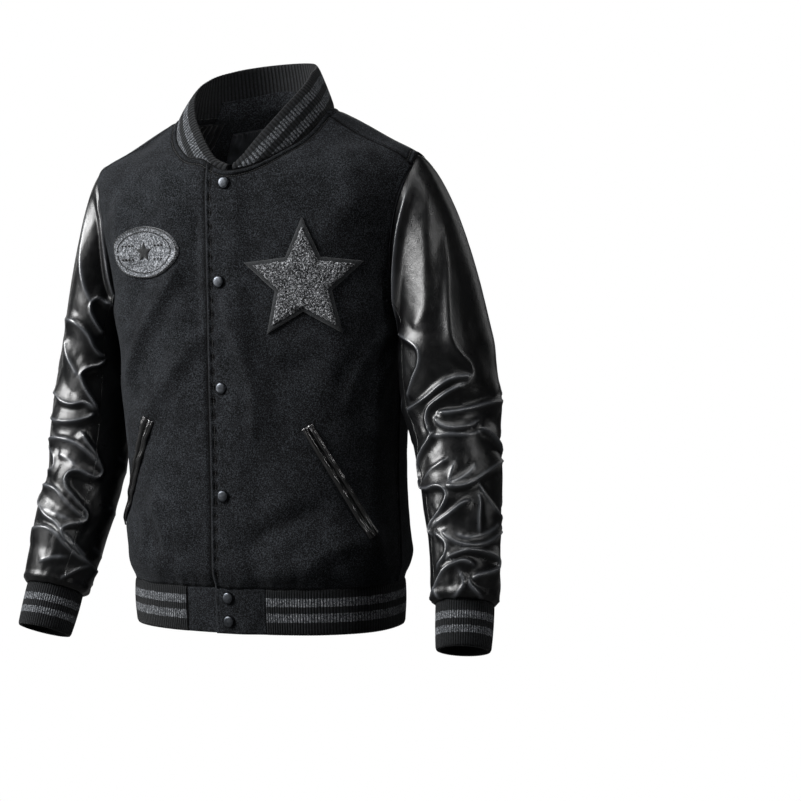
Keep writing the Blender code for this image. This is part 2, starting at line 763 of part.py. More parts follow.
def back_yoke(name):
    net, arm, _ = yoke_net()
    points, normals = panel_points(net)
    normals[0] = neck_point(net[0, :, 0])[1]
    turns = np.arange(SHOULDER_TURN, -(360 - YOKE_TURN) - 1, -360 / ARMHOLE_STEPS) % 360
    normals[-1, : arm + 1] = armhole_point(turns, 1)[1]
    normals[-1, -arm - 1 :] = armhole_point(turns[::-1], -1)[1]
    moved = drawn_in(points, (0, 1, 2, 3))
    return cloth_wall(name, moved, moved - WOOL * normals, "wool")


# Knit bands


def ribbed(points, normals):
    """The outer points with every second column raised."""
    raised = points.copy()
    raised[:, 1::2] += RIB_RISE * normals[:, 1::2]
    return raised


def collar(name):
    """A band from the neck seam to the collar's edge, drawn to nothing at centre front."""
    columns = 2 * COLLAR_RIBS
    shares = np.linspace(0, 1, columns + 1)
    first, last = COLLAR_EDGE[0][0], COLLAR_EDGE[-1][0]
    angles = first + shares * (last - first)
    seam, slanted = shared_neck(angles)
    edge = collar_edge(angles)
    levels = (0.0, 0.45, 1.0)
    rows = [seam * (1 - v) + edge * v for v in levels]
    across = np.gradient(edge - (edge - seam) / 2, axis=0)
    outward = unit(np.cross(across, edge - seam))
    net = np.array([row + outward * 4 * COLLAR_BULGE * v * (1 - v) for row, v in zip(rows, levels)])
    net[0] += COLLAR_SEAM * unit(edge - seam)
    thin_end = np.clip(np.minimum(shares, 1 - shares) / 0.05, 0.35, 1)[:, None]
    normals = np.array([slanted, outward, outward])
    outer = ribbed(net, normals)
    outer[0] = net[0]
    inner = (net - KNIT * thin_end * normals)[:, ::6]
    return cloth_wall(name, outer, inner, "knit")


def shared_neck(angles):
    """The neck seam as the panels' edges have it: straight between their own points."""
    overlap = edge_angle(LAP_REACH, NECK_FRONT)
    fronts = front_neck_angles()[:-1]
    yoke = yoke_net()[0][0, :, 0]
    stops = np.concatenate([[-overlap], fronts, yoke, 360 - fronts[::-1], [360 + overlap]])
    points, slanted = neck_point(stops)
    left = (stops < 90)[:, None]
    lap = lap_rise(points[:, 0])[:, None]
    points = np.where(left, points + body_normal(stops, points[:, 2]) * lap, points)
    seam = np.stack([np.interp(angles, stops, points[:, k]) for k in range(3)], axis=-1)
    lean = np.stack([np.interp(angles, stops, slanted[:, k]) for k in range(3)], axis=-1)
    return seam, lean


def hem_band(name):
    """The ribbed hem from tab to tab round the back."""
    columns = 2 * HEM_RIBS
    heights = np.array([HEM_BOTTOM, HEM_TOP])
    starts = [edge_angle(LEFT_TAB_REACH, height) for height in heights]
    ends = [360 + edge_angle(-RIGHT_TAB_REACH, height) for height in heights]
    angles = np.array([np.linspace(a, b, columns + 1) for a, b in zip(starts, ends)])
    points = body_point(angles, heights[:, None])
    normals = level(body_normal(angles, heights[:, None]))
    points[-1, :, 2] -= HALF_SEAM
    points = drawn_in(points, (2, 3))
    outer = ribbed(points, normals)
    inner = (points - KNIT * normals)[:, ::6]
    return cloth_wall(name, outer, inner, "knit")


def hem_tab(name, ends, lapped):
    """The wool end of the hem band at centre front, between two distances across."""
    columns = 6
    rows = []
    for height in (HEM_BOTTOM, HEM_TOP):
        angles = np.linspace(edge_angle(ends[0], height), edge_angle(ends[1], height), columns + 1)
        rows.append([(a, height) for a in angles])
    points, normals = panel_points(np.array(rows), lapped)
    normals = level(normals)
    points[-1, :, 2] -= HALF_SEAM
    points = drawn_in(points, (3,))
    return cloth_wall(name, points, points - WOOL * normals, "wool")


# Sleeves


class Arm:
    """The stations of one sleeve, and the rings that they give."""

    def __init__(self, stations, side):
        self.side = side
        self.last = min(row[0] for row in stations)
        self.at = curve_through(stations)

    def centre(self, height):
        outward, y = self.at(height)[:2]
        return np.array([self.side * outward, y, height])

    def axes(self, height):
        """The way down the arm, the way outward and the way forward."""
        step = 0.012
        upper = min(height + step, -0.285)
        lower = max(height - step, self.last)
        down = unit(self.centre(lower) - self.centre(upper))
        outward = np.array([self.side, 0.0, 0.0])
        outward = unit(outward - down * np.dot(outward, down))
        forward = np.array([0.0, -1.0, 0.0])
        forward = unit(forward - down * np.dot(forward, down) - outward * np.dot(forward, outward))
        return down, outward, forward

    def ring(self, height, turns, folds):
        _, _, outward_radius, forward_radius = self.at(height)
        _, outward, forward = self.axes(height)
        turn = np.radians(turns)[:, None]
        around = np.cos(turn) * outward + np.sin(turn) * forward
        shape = outward_radius * np.cos(turn) * outward + forward_radius * np.sin(turn) * forward
        lift = folded(folds, SLEEVE_FOLD_RADIUS, turns, np.full(len(turns), height))
        return self.centre(height) + shape + around * lift[:, None]


def cap_rows(arm, turns, ring, below):
    """Rows between the armhole seam and the first ring, leaving both smoothly."""
    seam, _ = armhole_point(turns, arm.side)
    leaving = sleeve_start(turns, arm.side)
    reach = np.linalg.norm(ring - seam, axis=1, keepdims=True)
    arriving = unit(below - ring)
    fullness = LEFT_CAP_FULLNESS if arm.side > 0 else RIGHT_CAP_FULLNESS
    rows = []
    for u in np.linspace(0, 1, CAP_ROWS + 1)[:-1]:
        rows.append(
            seam * (1 + 2 * u) * (1 - u) ** 2
            + ring * u * u * (3 - 2 * u)
            + leaving * reach * fullness * u * (1 - u) ** 2
            - arriving * reach * CAP_DROP * u * u * (1 - u)
        )
    return rows


def sleeve_net(arm, folds):
    """The outer points and outward directions of a whole sleeve, closed round."""
    turns = armhole_turns()[:-1]
    top = -0.285
    upper = np.linspace(top, CRUMPLED_FROM, UPPER_ARM_ROWS + 1)
    end_levels = [arm.last + 0.0035, arm.last]
    crumpled = np.linspace(CRUMPLED_FROM, end_levels[0] + 0.011, CRUMPLED_ROWS)[1:]
    heights = [*upper, *crumpled, *end_levels]
    rings = [arm.ring(h, turns, folds if h > end_levels[0] else ()) for h in heights]
    below = arm.ring(top - 0.02, turns, folds)
    net = np.array(cap_rows(arm, turns, rings[0], below) + rings)
    down = np.gradient(net, axis=0)
    round_it = (np.roll(net, -1, axis=1) - np.roll(net, 1, axis=1)) / 2
    normals = unit(np.cross(down, round_it)) * -arm.side
    _, outward, forward = arm.axes(arm.last)
    turn = np.radians(turns)[:, None]
    _, slanted = armhole_point(turns, arm.side)
    normals[0] = slanted
    normals[-1] = np.cos(turn) * outward + np.sin(turn) * forward
    return net, normals


def sleeve(name, arm, folds):
    net, normals = sleeve_net(arm, folds)
    moved = drawn_in(net, (0,))
    turns = list(armhole_turns())
    first, last = turns.index(UNDER_FROM), turns.index(UNDER_TO)
    count = ARMHOLE_STEPS
    parts = {
        "under": np.arange(first, last + 1),
        "outer": np.arange(last, first + count + 1) % count,
    }
    for part, columns in parts.items():
        outer = drawn_in(moved[:, columns], (2, 3))
        cloth_wall(f"{name}_{part}", outer, outer - LEATHER * normals[:, columns], "leather")


def cuff(name, arm, growth):
    """The ribbed cuff below a sleeve, along the arm's last direction."""
    down, outward, forward = arm.axes(arm.last)
    start = arm.centre(arm.last) + down * 2 * HALF_SEAM
    columns = 2 * CUFF_RIBS
    turn = np.linspace(0, 2 * math.pi, columns, endpoint=False)[:, None]
    around = np.cos(turn) * outward + np.sin(turn) * forward
    rows = (
        # share of the length, radius
        (0.0, CUFF_TOP_RADIUS),
        (1.0, CUFF_END_RADIUS),
    )
    points = np.array([start + down * CUFF_LENGTH * v + around * (r + growth) for v, r in rows])
    normals = np.array([around] * len(rows))
    outer = ribbed(points, normals)
    inner = (points - KNIT * normals)[:, ::6]
    return cloth_wall(name, outer, inner, "knit", closed=True)


# Trims on the fronts


def front_surface(across, height, side=1):
    """A point of a front and its outward direction, at a distance round from centre front."""
    angle = chest_angle(across * side, height)
    point = body_point(angle, height)
    normal = body_normal(angle, height)
    if side > 0:
        point = point + normal * float(lap_rise(point[0]))
    return point, normal


def laid_piece(name, outline, rises, base, finish, side):
    """A flat piece on a front: rings of its outline, each scaled about its middle and raised.

    The outline is a list of (across, height) points round (0, 0), and comes with its centre.
    """
    centre, shape = outline
    mesh = bmesh.new()
    tops, floors = [], []
    for scale, rise in rises:
        top, floor = [], []
        for across, up in shape:
            place = (centre[0] + across * scale, centre[1] + up * scale)
            point, normal = front_surface(*place, side)
            top.append(mesh.verts.new(point + normal * (base + rise)))
            floor.append(mesh.verts.new(point + normal * base))
        tops.append(top)
        floors.append(floor)
    for rings in (tops, floors):
        for a, b in zip(rings, rings[1:]):
            for i in range(len(a)):
                j = (i + 1) % len(a)
                mesh.faces.new((a[i], a[j], b[j], b[i]))
    point, normal = front_surface(*centre, side)
    for rings, lift in ((tops, base + rises[-1][1]), (floors, base)):
        middle = mesh.verts.new(point + normal * lift)
        last = rings[-1]
        for i in range(len(last)):
            mesh.faces.new((last[i], last[(i + 1) % len(last)], middle))
    for i in range(len(shape)):
        j = (i + 1) % len(shape)
        mesh.faces.new((tops[0][i], tops[0][j], floors[0][j], floors[0][i]))
    bmesh.ops.recalc_face_normals(mesh, faces=mesh.faces)
    data = bpy.data.meshes.new(name)
    mesh.to_mesh(data)
    mesh.free()
    return add_piece(name, data, finish)


def star(radius, border=0.0, splits=2):
    """The outline of a five-pointed star, with a border of even width added outside."""
    corners = []
    reach = radius + border / math.sin(math.radians(27))
    notch = radius * STAR_NOTCH + border * 1.05
    for k in range(10):
        turn = math.radians(90 + 36 * k)
        length = reach if k % 2 == 0 else notch
        corners.append((length * math.cos(turn), length * math.sin(turn)))
    outline = []
    for a, b in zip(corners, corners[1:] + corners[:1]):
        for k in range(splits):
            share = k / splits
            outline.append((a[0] * (1 - share) + b[0] * share, a[1] * (1 - share) + b[1] * share))
    return outline


def oval(half_width, half_height, steps=20):
    turns = [2 * math.pi * k / steps for k in range(steps)]
    return [(half_width * math.cos(t), half_height * math.sin(t)) for t in turns]


def welt(name, side, lift):
    """Two leather lips with a groove between them, joined at both ends."""
    top, bottom = np.array(WELT_TOP) + (0, lift), np.array(WELT_BOTTOM) + (0, lift)
    along = unit(bottom - top)
    beside = np.array([-along[1], along[0]])
    outer, inner = [], []
    for u in np.linspace(0, 1, WELT_COLUMNS + 1):
        middle = top * (1 - u) + bottom * u
        closing = np.clip(1 - min(u, 1 - u) / WELT_END_FILL, 0, 1)
        outer_row, inner_row = [], []
        for across, rise in WELT_PROFILE:
            lip = max(row[1] for row in WELT_PROFILE)
            filled = rise + (lip - rise) * closing * (abs(across) < 0.5)
            place = middle + beside * across * WELT_WIDTH / 2
            point, normal = front_surface(place[0], place[1], side)
            outer_row.append(point + normal * (LAID_ON + filled))
            inner_row.append(point + normal * LAID_ON)
        outer.append(outer_row)
        inner.append(inner_row)
    return cloth_wall(name, outer, inner, "leather")


def snap(name, across, height):
    """A domed snap cap, turned and set square to the placket."""
    angle = edge_angle(across, height)
    normal = body_normal(angle, height)
    point = body_point(angle, height) + normal * (LAP_RISE + SNAP_STAND_OFF)
    mesh = bpy.data.meshes.new(name)
    profile = [(radius, 0, rise) for radius, rise in SNAP_PROFILE]
    mesh.from_pydata(profile, [(k, k + 1) for k in range(len(profile) - 1)], [])
    cap = add_piece(name, mesh, "metal")
    turned = cap.modifiers.new("turned", "SCREW")
    turned.steps = turned.render_steps = SNAP_SIDES
    turned.use_merge_vertices = True
    turned.merge_threshold = 0.0001
    cap.location = point
    cap.rotation_euler = Vector(normal).to_track_quat("Z", "Y").to_euler()
    return cap


# What shows inside the neck


def inside_yoke(name, columns, rows, depth, wall, finish):
    """A layer under part of the yoke, made from the yoke's points moved in."""
    net = yoke_net()[0]
    points, normals = panel_points(net)
    first, last = columns
    places = np.arange(YOKE_ROWS + 1)
    picked = slice(first, last + 1)

    def at(values):
        flat = values[:, picked].reshape(YOKE_ROWS + 1, -1)
        moved = [np.interp(rows, places, column) for column in flat.T]
        return np.array(moved).T.reshape(len(rows), -1, 3)

    outer = at(points) - unit(at(normals)) * depth
    inner = outer - unit(at(normals)) * wall
    return cloth_wall(name, drawn_in(outer, (2, 3)), drawn_in(inner, (2, 3)), finish)


def inside_the_neck():
    _, arm, steps = yoke_net()
    middle = steps // 2
    first, last = middle - FACING_HALF_COLUMNS, middle + FACING_HALF_COLUMNS
    under = WOOL + LAID_ON
    facing_rows = (0.35, 1.1, 1.95, 2.8, 3.4)
    lining_rows = (0.35, 1.1, 2.15, 3.0)
    label_rows = (1.1, 1.95, 2.8)
    inside_yoke("back_facing", (first, last), facing_rows, under, FACING, "wool")
    inside_yoke("lining_left", (1, first), lining_rows, under, LINING, "lining")
    inside_yoke("lining_right", (last, steps - 1), lining_rows, under, LINING, "lining")
    label_depth = under + FACING + LAID_ON
    label_columns = (middle - LABEL_HALF_COLUMNS, middle + LABEL_HALF_COLUMNS)
    inside_yoke("label", label_columns, label_rows, label_depth, LABEL, "satin")


# The jacket

for thing in list(bpy.data.objects):
    bpy.data.objects.remove(thing)
JACKET = bpy.data.collections.new("varsity_jacket")
bpy.context.scene.collection.children.link(JACKET)

front("front_left", 1, -LAP_REACH, True)
front("front_right", -1, -LAP_REACH, False)
back("back")
back_yoke("back_yoke")
for side_name, side, stations, folds, growth, lift in (
    ("left", 1, LEFT_ARM, LEFT_SLEEVE_FOLDS, 0.0, 0.0),
    ("right", -1, RIGHT_ARM, RIGHT_SLEEVE_FOLDS, RIGHT_CUFF_GROWTH, RIGHT_WELT_LIFT),
):
    arm = Arm(stations, side)
    sleeve(f"sleeve_{side_name}", arm, folds)
    cuff(f"cuff_{side_name}", arm, growth)
    welt(f"welt_{side_name}", side, lift)
collar("collar")
hem_band("hem_rib")
hem_tab("hem_tab_left", (-LAP_REACH, LEFT_TAB_REACH), True)
hem_tab("hem_tab_right", (LAP_REACH, -RIGHT_TAB_REACH), False)

felt_shape = (STAR_CENTRE, star(STAR_RADIUS, STAR_BORDER))
pile_shape = (STAR_CENTRE, star(STAR_RADIUS))
felt_rises = ((1, STAR_FELT_RISE), (0.65, STAR_FELT_RISE), (0.3, STAR_FELT_RISE))
laid_piece("star_felt", felt_shape, felt_rises, STAR_LIFT, "felt", 1)
pile_rises = ((1, STAR_PILE_EDGE), (0.85, STAR_PILE_RISE), (0.5, STAR_PILE_RISE))
pile_base = STAR_LIFT + STAR_FELT_RISE + LAID_ON
laid_piece("star_pile", pile_shape, pile_rises, pile_base, "pile", 1)
badge_shape = (BADGE_CENTRE, oval(*BADGE_HALF))
badge_rises = ((1, BADGE_RIM_RISE), (0.9, BADGE_RIM_RISE), (0.84, BADGE_FIELD_RISE))
laid_piece("badge_felt", badge_shape, badge_rises, LAID_ON, "badge", -1)
small_star = (BADGE_CENTRE, star(BADGE_STAR_RADIUS, splits=1))
star_rises = ((1, BADGE_STAR_RISE), (0.4, BADGE_STAR_RISE))
small_base = LAID_ON + BADGE_FIELD_RISE + LAID_ON / 2
laid_piece("badge_star", small_star, star_rises, small_base, "felt", -1)

for number, place in enumerate(SNAPS, 1):
    snap(f"snap_{number}", *place)
inside_the_neck()
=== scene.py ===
"""The looks of a varsity jacket: wool melton body, glossy leather sleeves, striped rib knit bands.

Metres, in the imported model's frame. Angles round the body start at centre front and grow towards
the wearer's left. Angles round a sleeve start at its outer side and grow towards its front.
"""

import math
from functools import partial

import bpy
import numpy as np
from mathutils import Matrix, Vector


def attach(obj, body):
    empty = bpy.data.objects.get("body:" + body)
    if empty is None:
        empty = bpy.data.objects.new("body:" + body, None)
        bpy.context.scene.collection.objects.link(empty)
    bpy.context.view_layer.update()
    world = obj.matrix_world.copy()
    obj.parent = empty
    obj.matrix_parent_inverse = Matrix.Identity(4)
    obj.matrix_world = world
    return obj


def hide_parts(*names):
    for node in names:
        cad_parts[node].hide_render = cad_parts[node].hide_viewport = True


MM = 0.001
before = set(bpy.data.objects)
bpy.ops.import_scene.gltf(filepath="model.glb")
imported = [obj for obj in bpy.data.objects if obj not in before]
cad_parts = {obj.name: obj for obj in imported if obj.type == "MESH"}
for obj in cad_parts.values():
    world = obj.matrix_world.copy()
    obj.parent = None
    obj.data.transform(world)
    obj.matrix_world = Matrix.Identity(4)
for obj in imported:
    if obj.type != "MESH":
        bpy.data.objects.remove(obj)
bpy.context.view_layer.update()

# The camera: its place, its focal length, and where its level axis crosses the frame

CAMERA_AZIMUTH = 27.0
CAMERA_HEIGHT = -0.247
CAMERA_DISTANCE = 2.7
CAMERA_ROLL = 1.1
FOCAL_PIXELS = 2109.0
AXIS_PIXEL = (264.0, 303.0)
FRAME_PIXELS = 801.0

# Sizes shared with the solids

WOOL = 2.4 * MM
LEATHER = 1.8 * MM
KNIT = 3.6 * MM
LAP_REACH = 0.016
LAP_RISE = 4.6 * MM
LAP_FADE = 0.034
HEM_TOP = -0.597
HEM_BOTTOM = -0.654
ARMPIT = -0.262
NECK_FRONT = -0.083
LEFT_TAB_REACH = 0.051
RIGHT_TAB_REACH = 0.060
CORNER_SOFTNESS = 0.12
COLLAR_SEAM = 0.4 * MM

BODY_SECTIONS = (
    # height, half_width, middle, front, back, front_squareness, back_squareness
    (0.030, 0.070, -0.008, 0.060, 0.068, 1.40, 1.70),
    (0.010, 0.086, -0.008, 0.075, 0.086, 1.38, 1.70),
    (0.000, 0.098, -0.008, 0.080, 0.097, 1.35, 1.68),
    (-0.020, 0.138, -0.009, 0.085, 0.111, 1.14, 1.62),
    (-0.045, 0.183, -0.010, 0.092, 0.121, 1.14, 1.60),
    (-0.068, 0.222, -0.010, 0.100, 0.127, 1.32, 1.62),
    (-0.085, 0.230, -0.010, 0.105, 0.131, 1.55, 1.72),
    (-0.110, 0.228, -0.009, 0.109, 0.134, 1.80, 1.88),
    (-0.150, 0.219, -0.006, 0.113, 0.135, 2.05, 2.05),
    (-0.200, 0.206, -0.002, 0.117, 0.133, 2.25, 2.25),
    (-0.262, 0.196, 0.000, 0.119, 0.130, 2.40, 2.40),
    (-0.330, 0.189, 0.000, 0.118, 0.127, 2.45, 2.45),
    (-0.400, 0.184, 0.000, 0.118, 0.126, 2.45, 2.45),
    (-0.480, 0.182, 0.000, 0.118, 0.127, 2.45, 2.45),
    (-0.550, 0.184, 0.000, 0.119, 0.129, 2.45, 2.45),
    (-0.580, 0.183, 0.000, 0.118, 0.127, 2.45, 2.45),
    (-0.597, 0.178, 0.000, 0.111, 0.119, 2.40, 2.40),
    (-0.602, 0.178, 0.000, 0.111, 0.119, 2.40, 2.40),
    (-0.654, 0.177, 0.000, 0.109, 0.117, 2.40, 2.40),
)
LEFT_SHOULDER_DROP = 0.003
RIGHT_SHOULDER_DROP = 0.007
NECK_SEAM = (
    # body_angle, radius
    (-90, 0.1030),
    (-75, 0.1015),
    (-60, 0.1010),
    (-45, 0.1005),
    (-30, 0.1020),
    (-15, 0.1008),
    (0, 0.1045),
    (15, 0.1065),
    (30, 0.1080),
    (45, 0.1085),
    (60, 0.1095),
    (75, 0.1090),
    (90, 0.1045),
    (105, 0.0995),
    (120, 0.0960),
    (150, 0.0900),
    (180, 0.0870),
    (210, 0.0890),
    (240, 0.0935),
    (255, 0.0985),
    (270, 0.1030),
)
ARMHOLE = (
    # turn, body_angle, height
    (0, 90.0, -0.068),
    (30, 84.5, -0.084),
    (60, 80.0, -0.114),
    (90, 77.5, -0.155),
    (120, 77.5, -0.203),
    (150, 81.0, -0.246),
    (180, 90.0, -0.262),
    (210, 101.0, -0.248),
    (240, 104.5, -0.206),
    (270, 104.0, -0.160),
    (300, 101.5, -0.118),
    (330, 96.5, -0.086),
    (360, 90.0, -0.068),
)
SHOULDER_TURN = 30
YOKE_TURN = 315
SHOULDER_NECK_ANGLE = 78
SLEEVE_START = (
    # turn, outward, forward, up
    (0, 0.80, 0.00, -0.60),
    (90, 0.74, 0.12, -0.66),
    (180, 0.26, 0.00, -0.96),
    (270, 0.74, 0.06, -0.66),
    (360, 0.80, 0.00, -0.60),
)
COLLAR_EDGE = (
    # seam_angle, x, y, z
    (11.5, 0.0190, -0.1120, -0.0785),
    (20, 0.0288, -0.1065, -0.0670),
    (32, 0.0480, -0.0980, -0.0430),
    (47, 0.0705, -0.0750, -0.0095),
    (62, 0.0830, -0.0460, 0.0180),
    (78, 0.0810, -0.0140, 0.0380),
    (92, 0.0755, 0.0090, 0.0455),
    (120, 0.0595, 0.0410, 0.0545),
    (150, 0.0345, 0.0610, 0.0590),
    (180, 0.0010, 0.0680, 0.0600),
    (210, -0.0325, 0.0610, 0.0575),
    (240, -0.0575, 0.0400, 0.0512),
    (270, -0.0730, 0.0040, 0.0388),
    (285, -0.0755, -0.0190, 0.0275),
    (300, -0.0705, -0.0430, 0.0095),
    (315, -0.0560, -0.0670, -0.0170),
    (330, -0.0325, -0.0900, -0.0440),
    (345, -0.0110, -0.1035, -0.0670),
    (366, 0.0130, -0.1100, -0.0790),
)
COLLAR_BULGE = 2.0 * MM
LEFT_ARM = (
    # height, outward, y, outward_radius, forward_radius
    (-0.285, 0.2522, -0.010, 0.0557, 0.0620),
    (-0.302, 0.2548, -0.013, 0.0583, 0.0620),
    (-0.340, 0.2590, -0.018, 0.0605, 0.0620),
    (-0.379, 0.2650, -0.020, 0.0620, 0.0600),
    (-0.418, 0.2755, -0.034, 0.0535, 0.0560),
    (-0.456, 0.2860, -0.049, 0.0516, 0.0530),
    (-0.491, 0.2923, -0.062, 0.0478, 0.0500),
    (-0.523, 0.2995, -0.075, 0.0445, 0.0475),
    (-0.567, 0.3068, -0.092, 0.0423, 0.0445),
    (-0.592, 0.3105, -0.102, 0.0415, 0.0425),
    (-0.603, 0.3112, -0.106, 0.0390, 0.0400),
    (-0.6065, 0.3118, -0.1074, 0.0345, 0.0350),
)
RIGHT_ARM = (
    # height, outward, y, outward_radius, forward_radius
    (-0.285, 0.2400, 0.000, 0.0425, 0.0620),
    (-0.302, 0.2415, 0.000, 0.0440, 0.0620),
    (-0.340, 0.2450, -0.003, 0.0480, 0.0620),
    (-0.379, 0.2475, -0.009, 0.0515, 0.0610),
    (-0.430, 0.2475, -0.022, 0.0505, 0.0580),
    (-0.469, 0.2470, -0.035, 0.0485, 0.0545),
    (-0.511, 0.2520, -0.050, 0.0480, 0.0535),
    (-0.541, 0.2560, -0.062, 0.0470, 0.0525),
    (-0.572, 0.2590, -0.074, 0.0450, 0.0500),
    (-0.599, 0.2615, -0.085, 0.0425, 0.0465),
    (-0.609, 0.2625, -0.089, 0.0412, 0.0440),
    (-0.6125, 0.2628, -0.0904, 0.0368, 0.0373),
)
ARM_TOP = -0.285
LEFT_CAP_FULLNESS = 0.70
RIGHT_CAP_FULLNESS = 0.40
CAP_DROP = 0.75
UNDER_FROM = 135
UNDER_TO = 255
CUFF_TOP_RADIUS = 0.0338
CUFF_END_RADIUS = 0.0318
RIGHT_CUFF_GROWTH = 0.0018
CUFF_LENGTH = 0.054

# Lengths in the tables of folds are in millimetres, and turns in degrees.
# The folds of a sleeve that the camera sees. Each is a crest through points of the camera's frame,
# in pixels, whose right side, seen along it, drops steeply while its left side slopes gently. A
# negative rise is a trough; a negative fade_in fades the crest over that length at its end instead.
LEFT_FOLDS = (
    # rise, gentle_width, steep_width, fade_in, then each point's pixel across and down
    (6, 5, 7, -50, 398, 336, 397, 305, 396, 265, 398, 228, 404, 198, 411, 176),
    (3.6, 14, 12, 50, 425, 176, 427, 210, 426, 240, 427, 275, 424, 310, 414, 332),
    (2.2, 10, 7, 30, 447, 222, 444, 250, 436, 276, 429, 300, 421, 326),
    (5, 13, 3.4, 10, 399, 334, 410, 341, 419, 350, 420, 362, 414, 378, 408, 400),
    (5.2, 14, 7, 140, 440, 196, 444, 230, 447, 262, 448, 300, 449, 322, 451, 340, 456, 350,
        465, 358, 472, 365, 474, 373, 470, 381, 461, 387, 450, 391),
    (4.8, 8, 3, 10, 472, 376, 460, 376, 449, 380, 438, 387, 428, 396, 417, 404, 406, 411),
    (5, 7, 3.4, 10, 465, 383, 450, 391, 438, 399, 430, 408, 427, 417, 429, 427, 432, 436),
    (4.8, 8, 3, 10, 503, 400, 486, 404, 470, 409, 452, 413, 436, 413),
    (4.6, 9, 2.8, 10, 434, 417, 441, 425, 450, 428, 462, 428, 472, 426, 480, 419),
    (6.2, 11, 3.6, 10, 477, 427, 486, 432, 495, 440, 501, 449, 503, 458),
    (5.6, 11, 3.6, 10, 446, 484, 453, 487, 464, 486, 474, 482, 483, 475, 493, 468, 503, 460),
    (5.2, 9, 5, 10, 422, 483, 420, 470, 421, 456, 426, 446, 431, 437, 434, 430),
    (6, 11, 3.2, 10, 419, 478, 423, 488, 430, 489, 438, 486, 445, 488, 448, 495, 446, 503,
        440, 514, 434, 523, 432, 532, 436, 538),
    (4.2, 9, 3.4, 10, 473, 500, 462, 505, 452, 512, 443, 520, 434, 527),
    (5, 12, 4, 10, 503, 521, 495, 511, 487, 500, 481, 488, 479, 480),
    (3.6, 10, 6, 10, 480, 536, 479, 520, 480, 505, 479, 490),
    (5, 10, 3, 10, 442, 530, 451, 539, 462, 545, 474, 547, 485, 545, 494, 539, 502, 531),
    (2.6, 6, 2.6, 10, 456, 534, 466, 538, 477, 538, 488, 534, 500, 524),
    (4.8, 9, 3.4, 10, 436, 533, 443, 538, 448, 545, 448, 553, 443, 561, 436, 570),
    (5.8, 10, 3.4, 10, 446, 561, 456, 555, 468, 552, 481, 552, 491, 556, 498, 562, 498, 569,
        492, 574, 482, 576, 472, 579),
    (5.4, 12, 3.6, 10, 477, 568, 465, 562, 455, 564, 447, 570, 441, 578, 436, 590, 431, 602),
    (3.6, 8, 4, 10, 484, 603, 477, 593, 471, 585, 470, 578),
    (3, 10, 5, 10, 452, 604, 459, 594, 465, 584, 459, 570),
    (2.8, 8, 3.2, 10, 450, 458, 440, 464, 430, 472, 424, 481),
    (2.6, 8, 3.6, 10, 478, 464, 468, 474, 457, 481, 447, 484),
    (2.2, 6, 4, 10, 449, 484, 451, 472, 456, 461),
    (2, 7, 4, 10, 430, 436, 450, 434, 470, 434, 484, 431),
    (3, 9, 5, 10, 445, 607, 440, 598, 436, 588),
)
RIGHT_FOLDS = (
    # rise, gentle_width, steep_width, fade_in, then each point's pixel across and down
    (4, 3.6, 3.6, -40, 119, 303, 113, 288, 108, 256, 105, 222, 102, 188),
    (-7.5, 17, 3.6, -50, 113, 303, 107, 287, 102, 256, 100, 222, 99, 186),
    (3.6, 6, 12, -120, 95, 305, 88, 290, 84, 268, 86, 240, 91, 208, 96, 182),
    (5.4, 12, 3.4, 10, 106, 337, 99, 325, 94, 313, 94, 304, 100, 299, 109, 303, 119, 308),
    (5, 10, 6, 10, 109, 358, 102, 355, 96, 348, 92, 338, 86, 329, 78, 323, 66, 320),
    (4, 10, 6, 10, 83, 378, 76, 367, 71, 354, 69, 338),
    (6, 12, 3.4, 10, 101, 413, 96, 402, 90, 392, 85, 382, 84, 374, 91, 368, 101, 366, 109, 359),
    (5.4, 10, 3.2, 10, 51, 390, 60, 394, 68, 402, 76, 404, 86, 402, 93, 406, 100, 412),
    (4.6, 10, 3.2, 10, 55, 417, 62, 421, 72, 421, 83, 420, 92, 416, 99, 411),
    (4.6, 9, 4, 10, 104, 470, 96, 459, 86, 448, 76, 441, 66, 438, 56, 437, 48, 441),
    (6, 13, 3.4, 10, 98, 572, 86, 558, 75, 546, 66, 536, 64, 528, 70, 524, 80, 523, 87, 520,
        88, 513, 83, 505, 76, 496, 70, 487, 69, 478, 73, 471, 82, 471, 91, 475, 99, 477, 103, 473,
        103, 465, 97, 454, 90, 442, 84, 430),
    (3.6, 7, 3.4, 10, 47, 443, 54, 449, 58, 457, 57, 466, 50, 471, 45, 474),
    (4.6, 9, 3.6, 10, 87, 518, 76, 509, 67, 498, 59, 489, 50, 485, 40, 483),
    (5.2, 10, 3.4, 10, 42, 490, 44, 504, 50, 515, 59, 522, 66, 532, 76, 544, 88, 558),
    (5.2, 12, 3.4, 10, 89, 562, 77, 554, 67, 544, 58, 532, 50, 526, 42, 526, 34, 533, 29, 543),
    (3.4, 10, 4, 10, 62, 578, 70, 573, 79, 568, 91, 563),
    (2.4, 8, 6, 10, 46, 508, 58, 513, 72, 519),
    (2.4, 8, 6, 10, 40, 560, 54, 556, 70, 556),
    (2.6, 10, 6, 10, 56, 372, 62, 352, 66, 334),
    (2.4, 8, 6, 10, 60, 452, 70, 458, 80, 468),
)

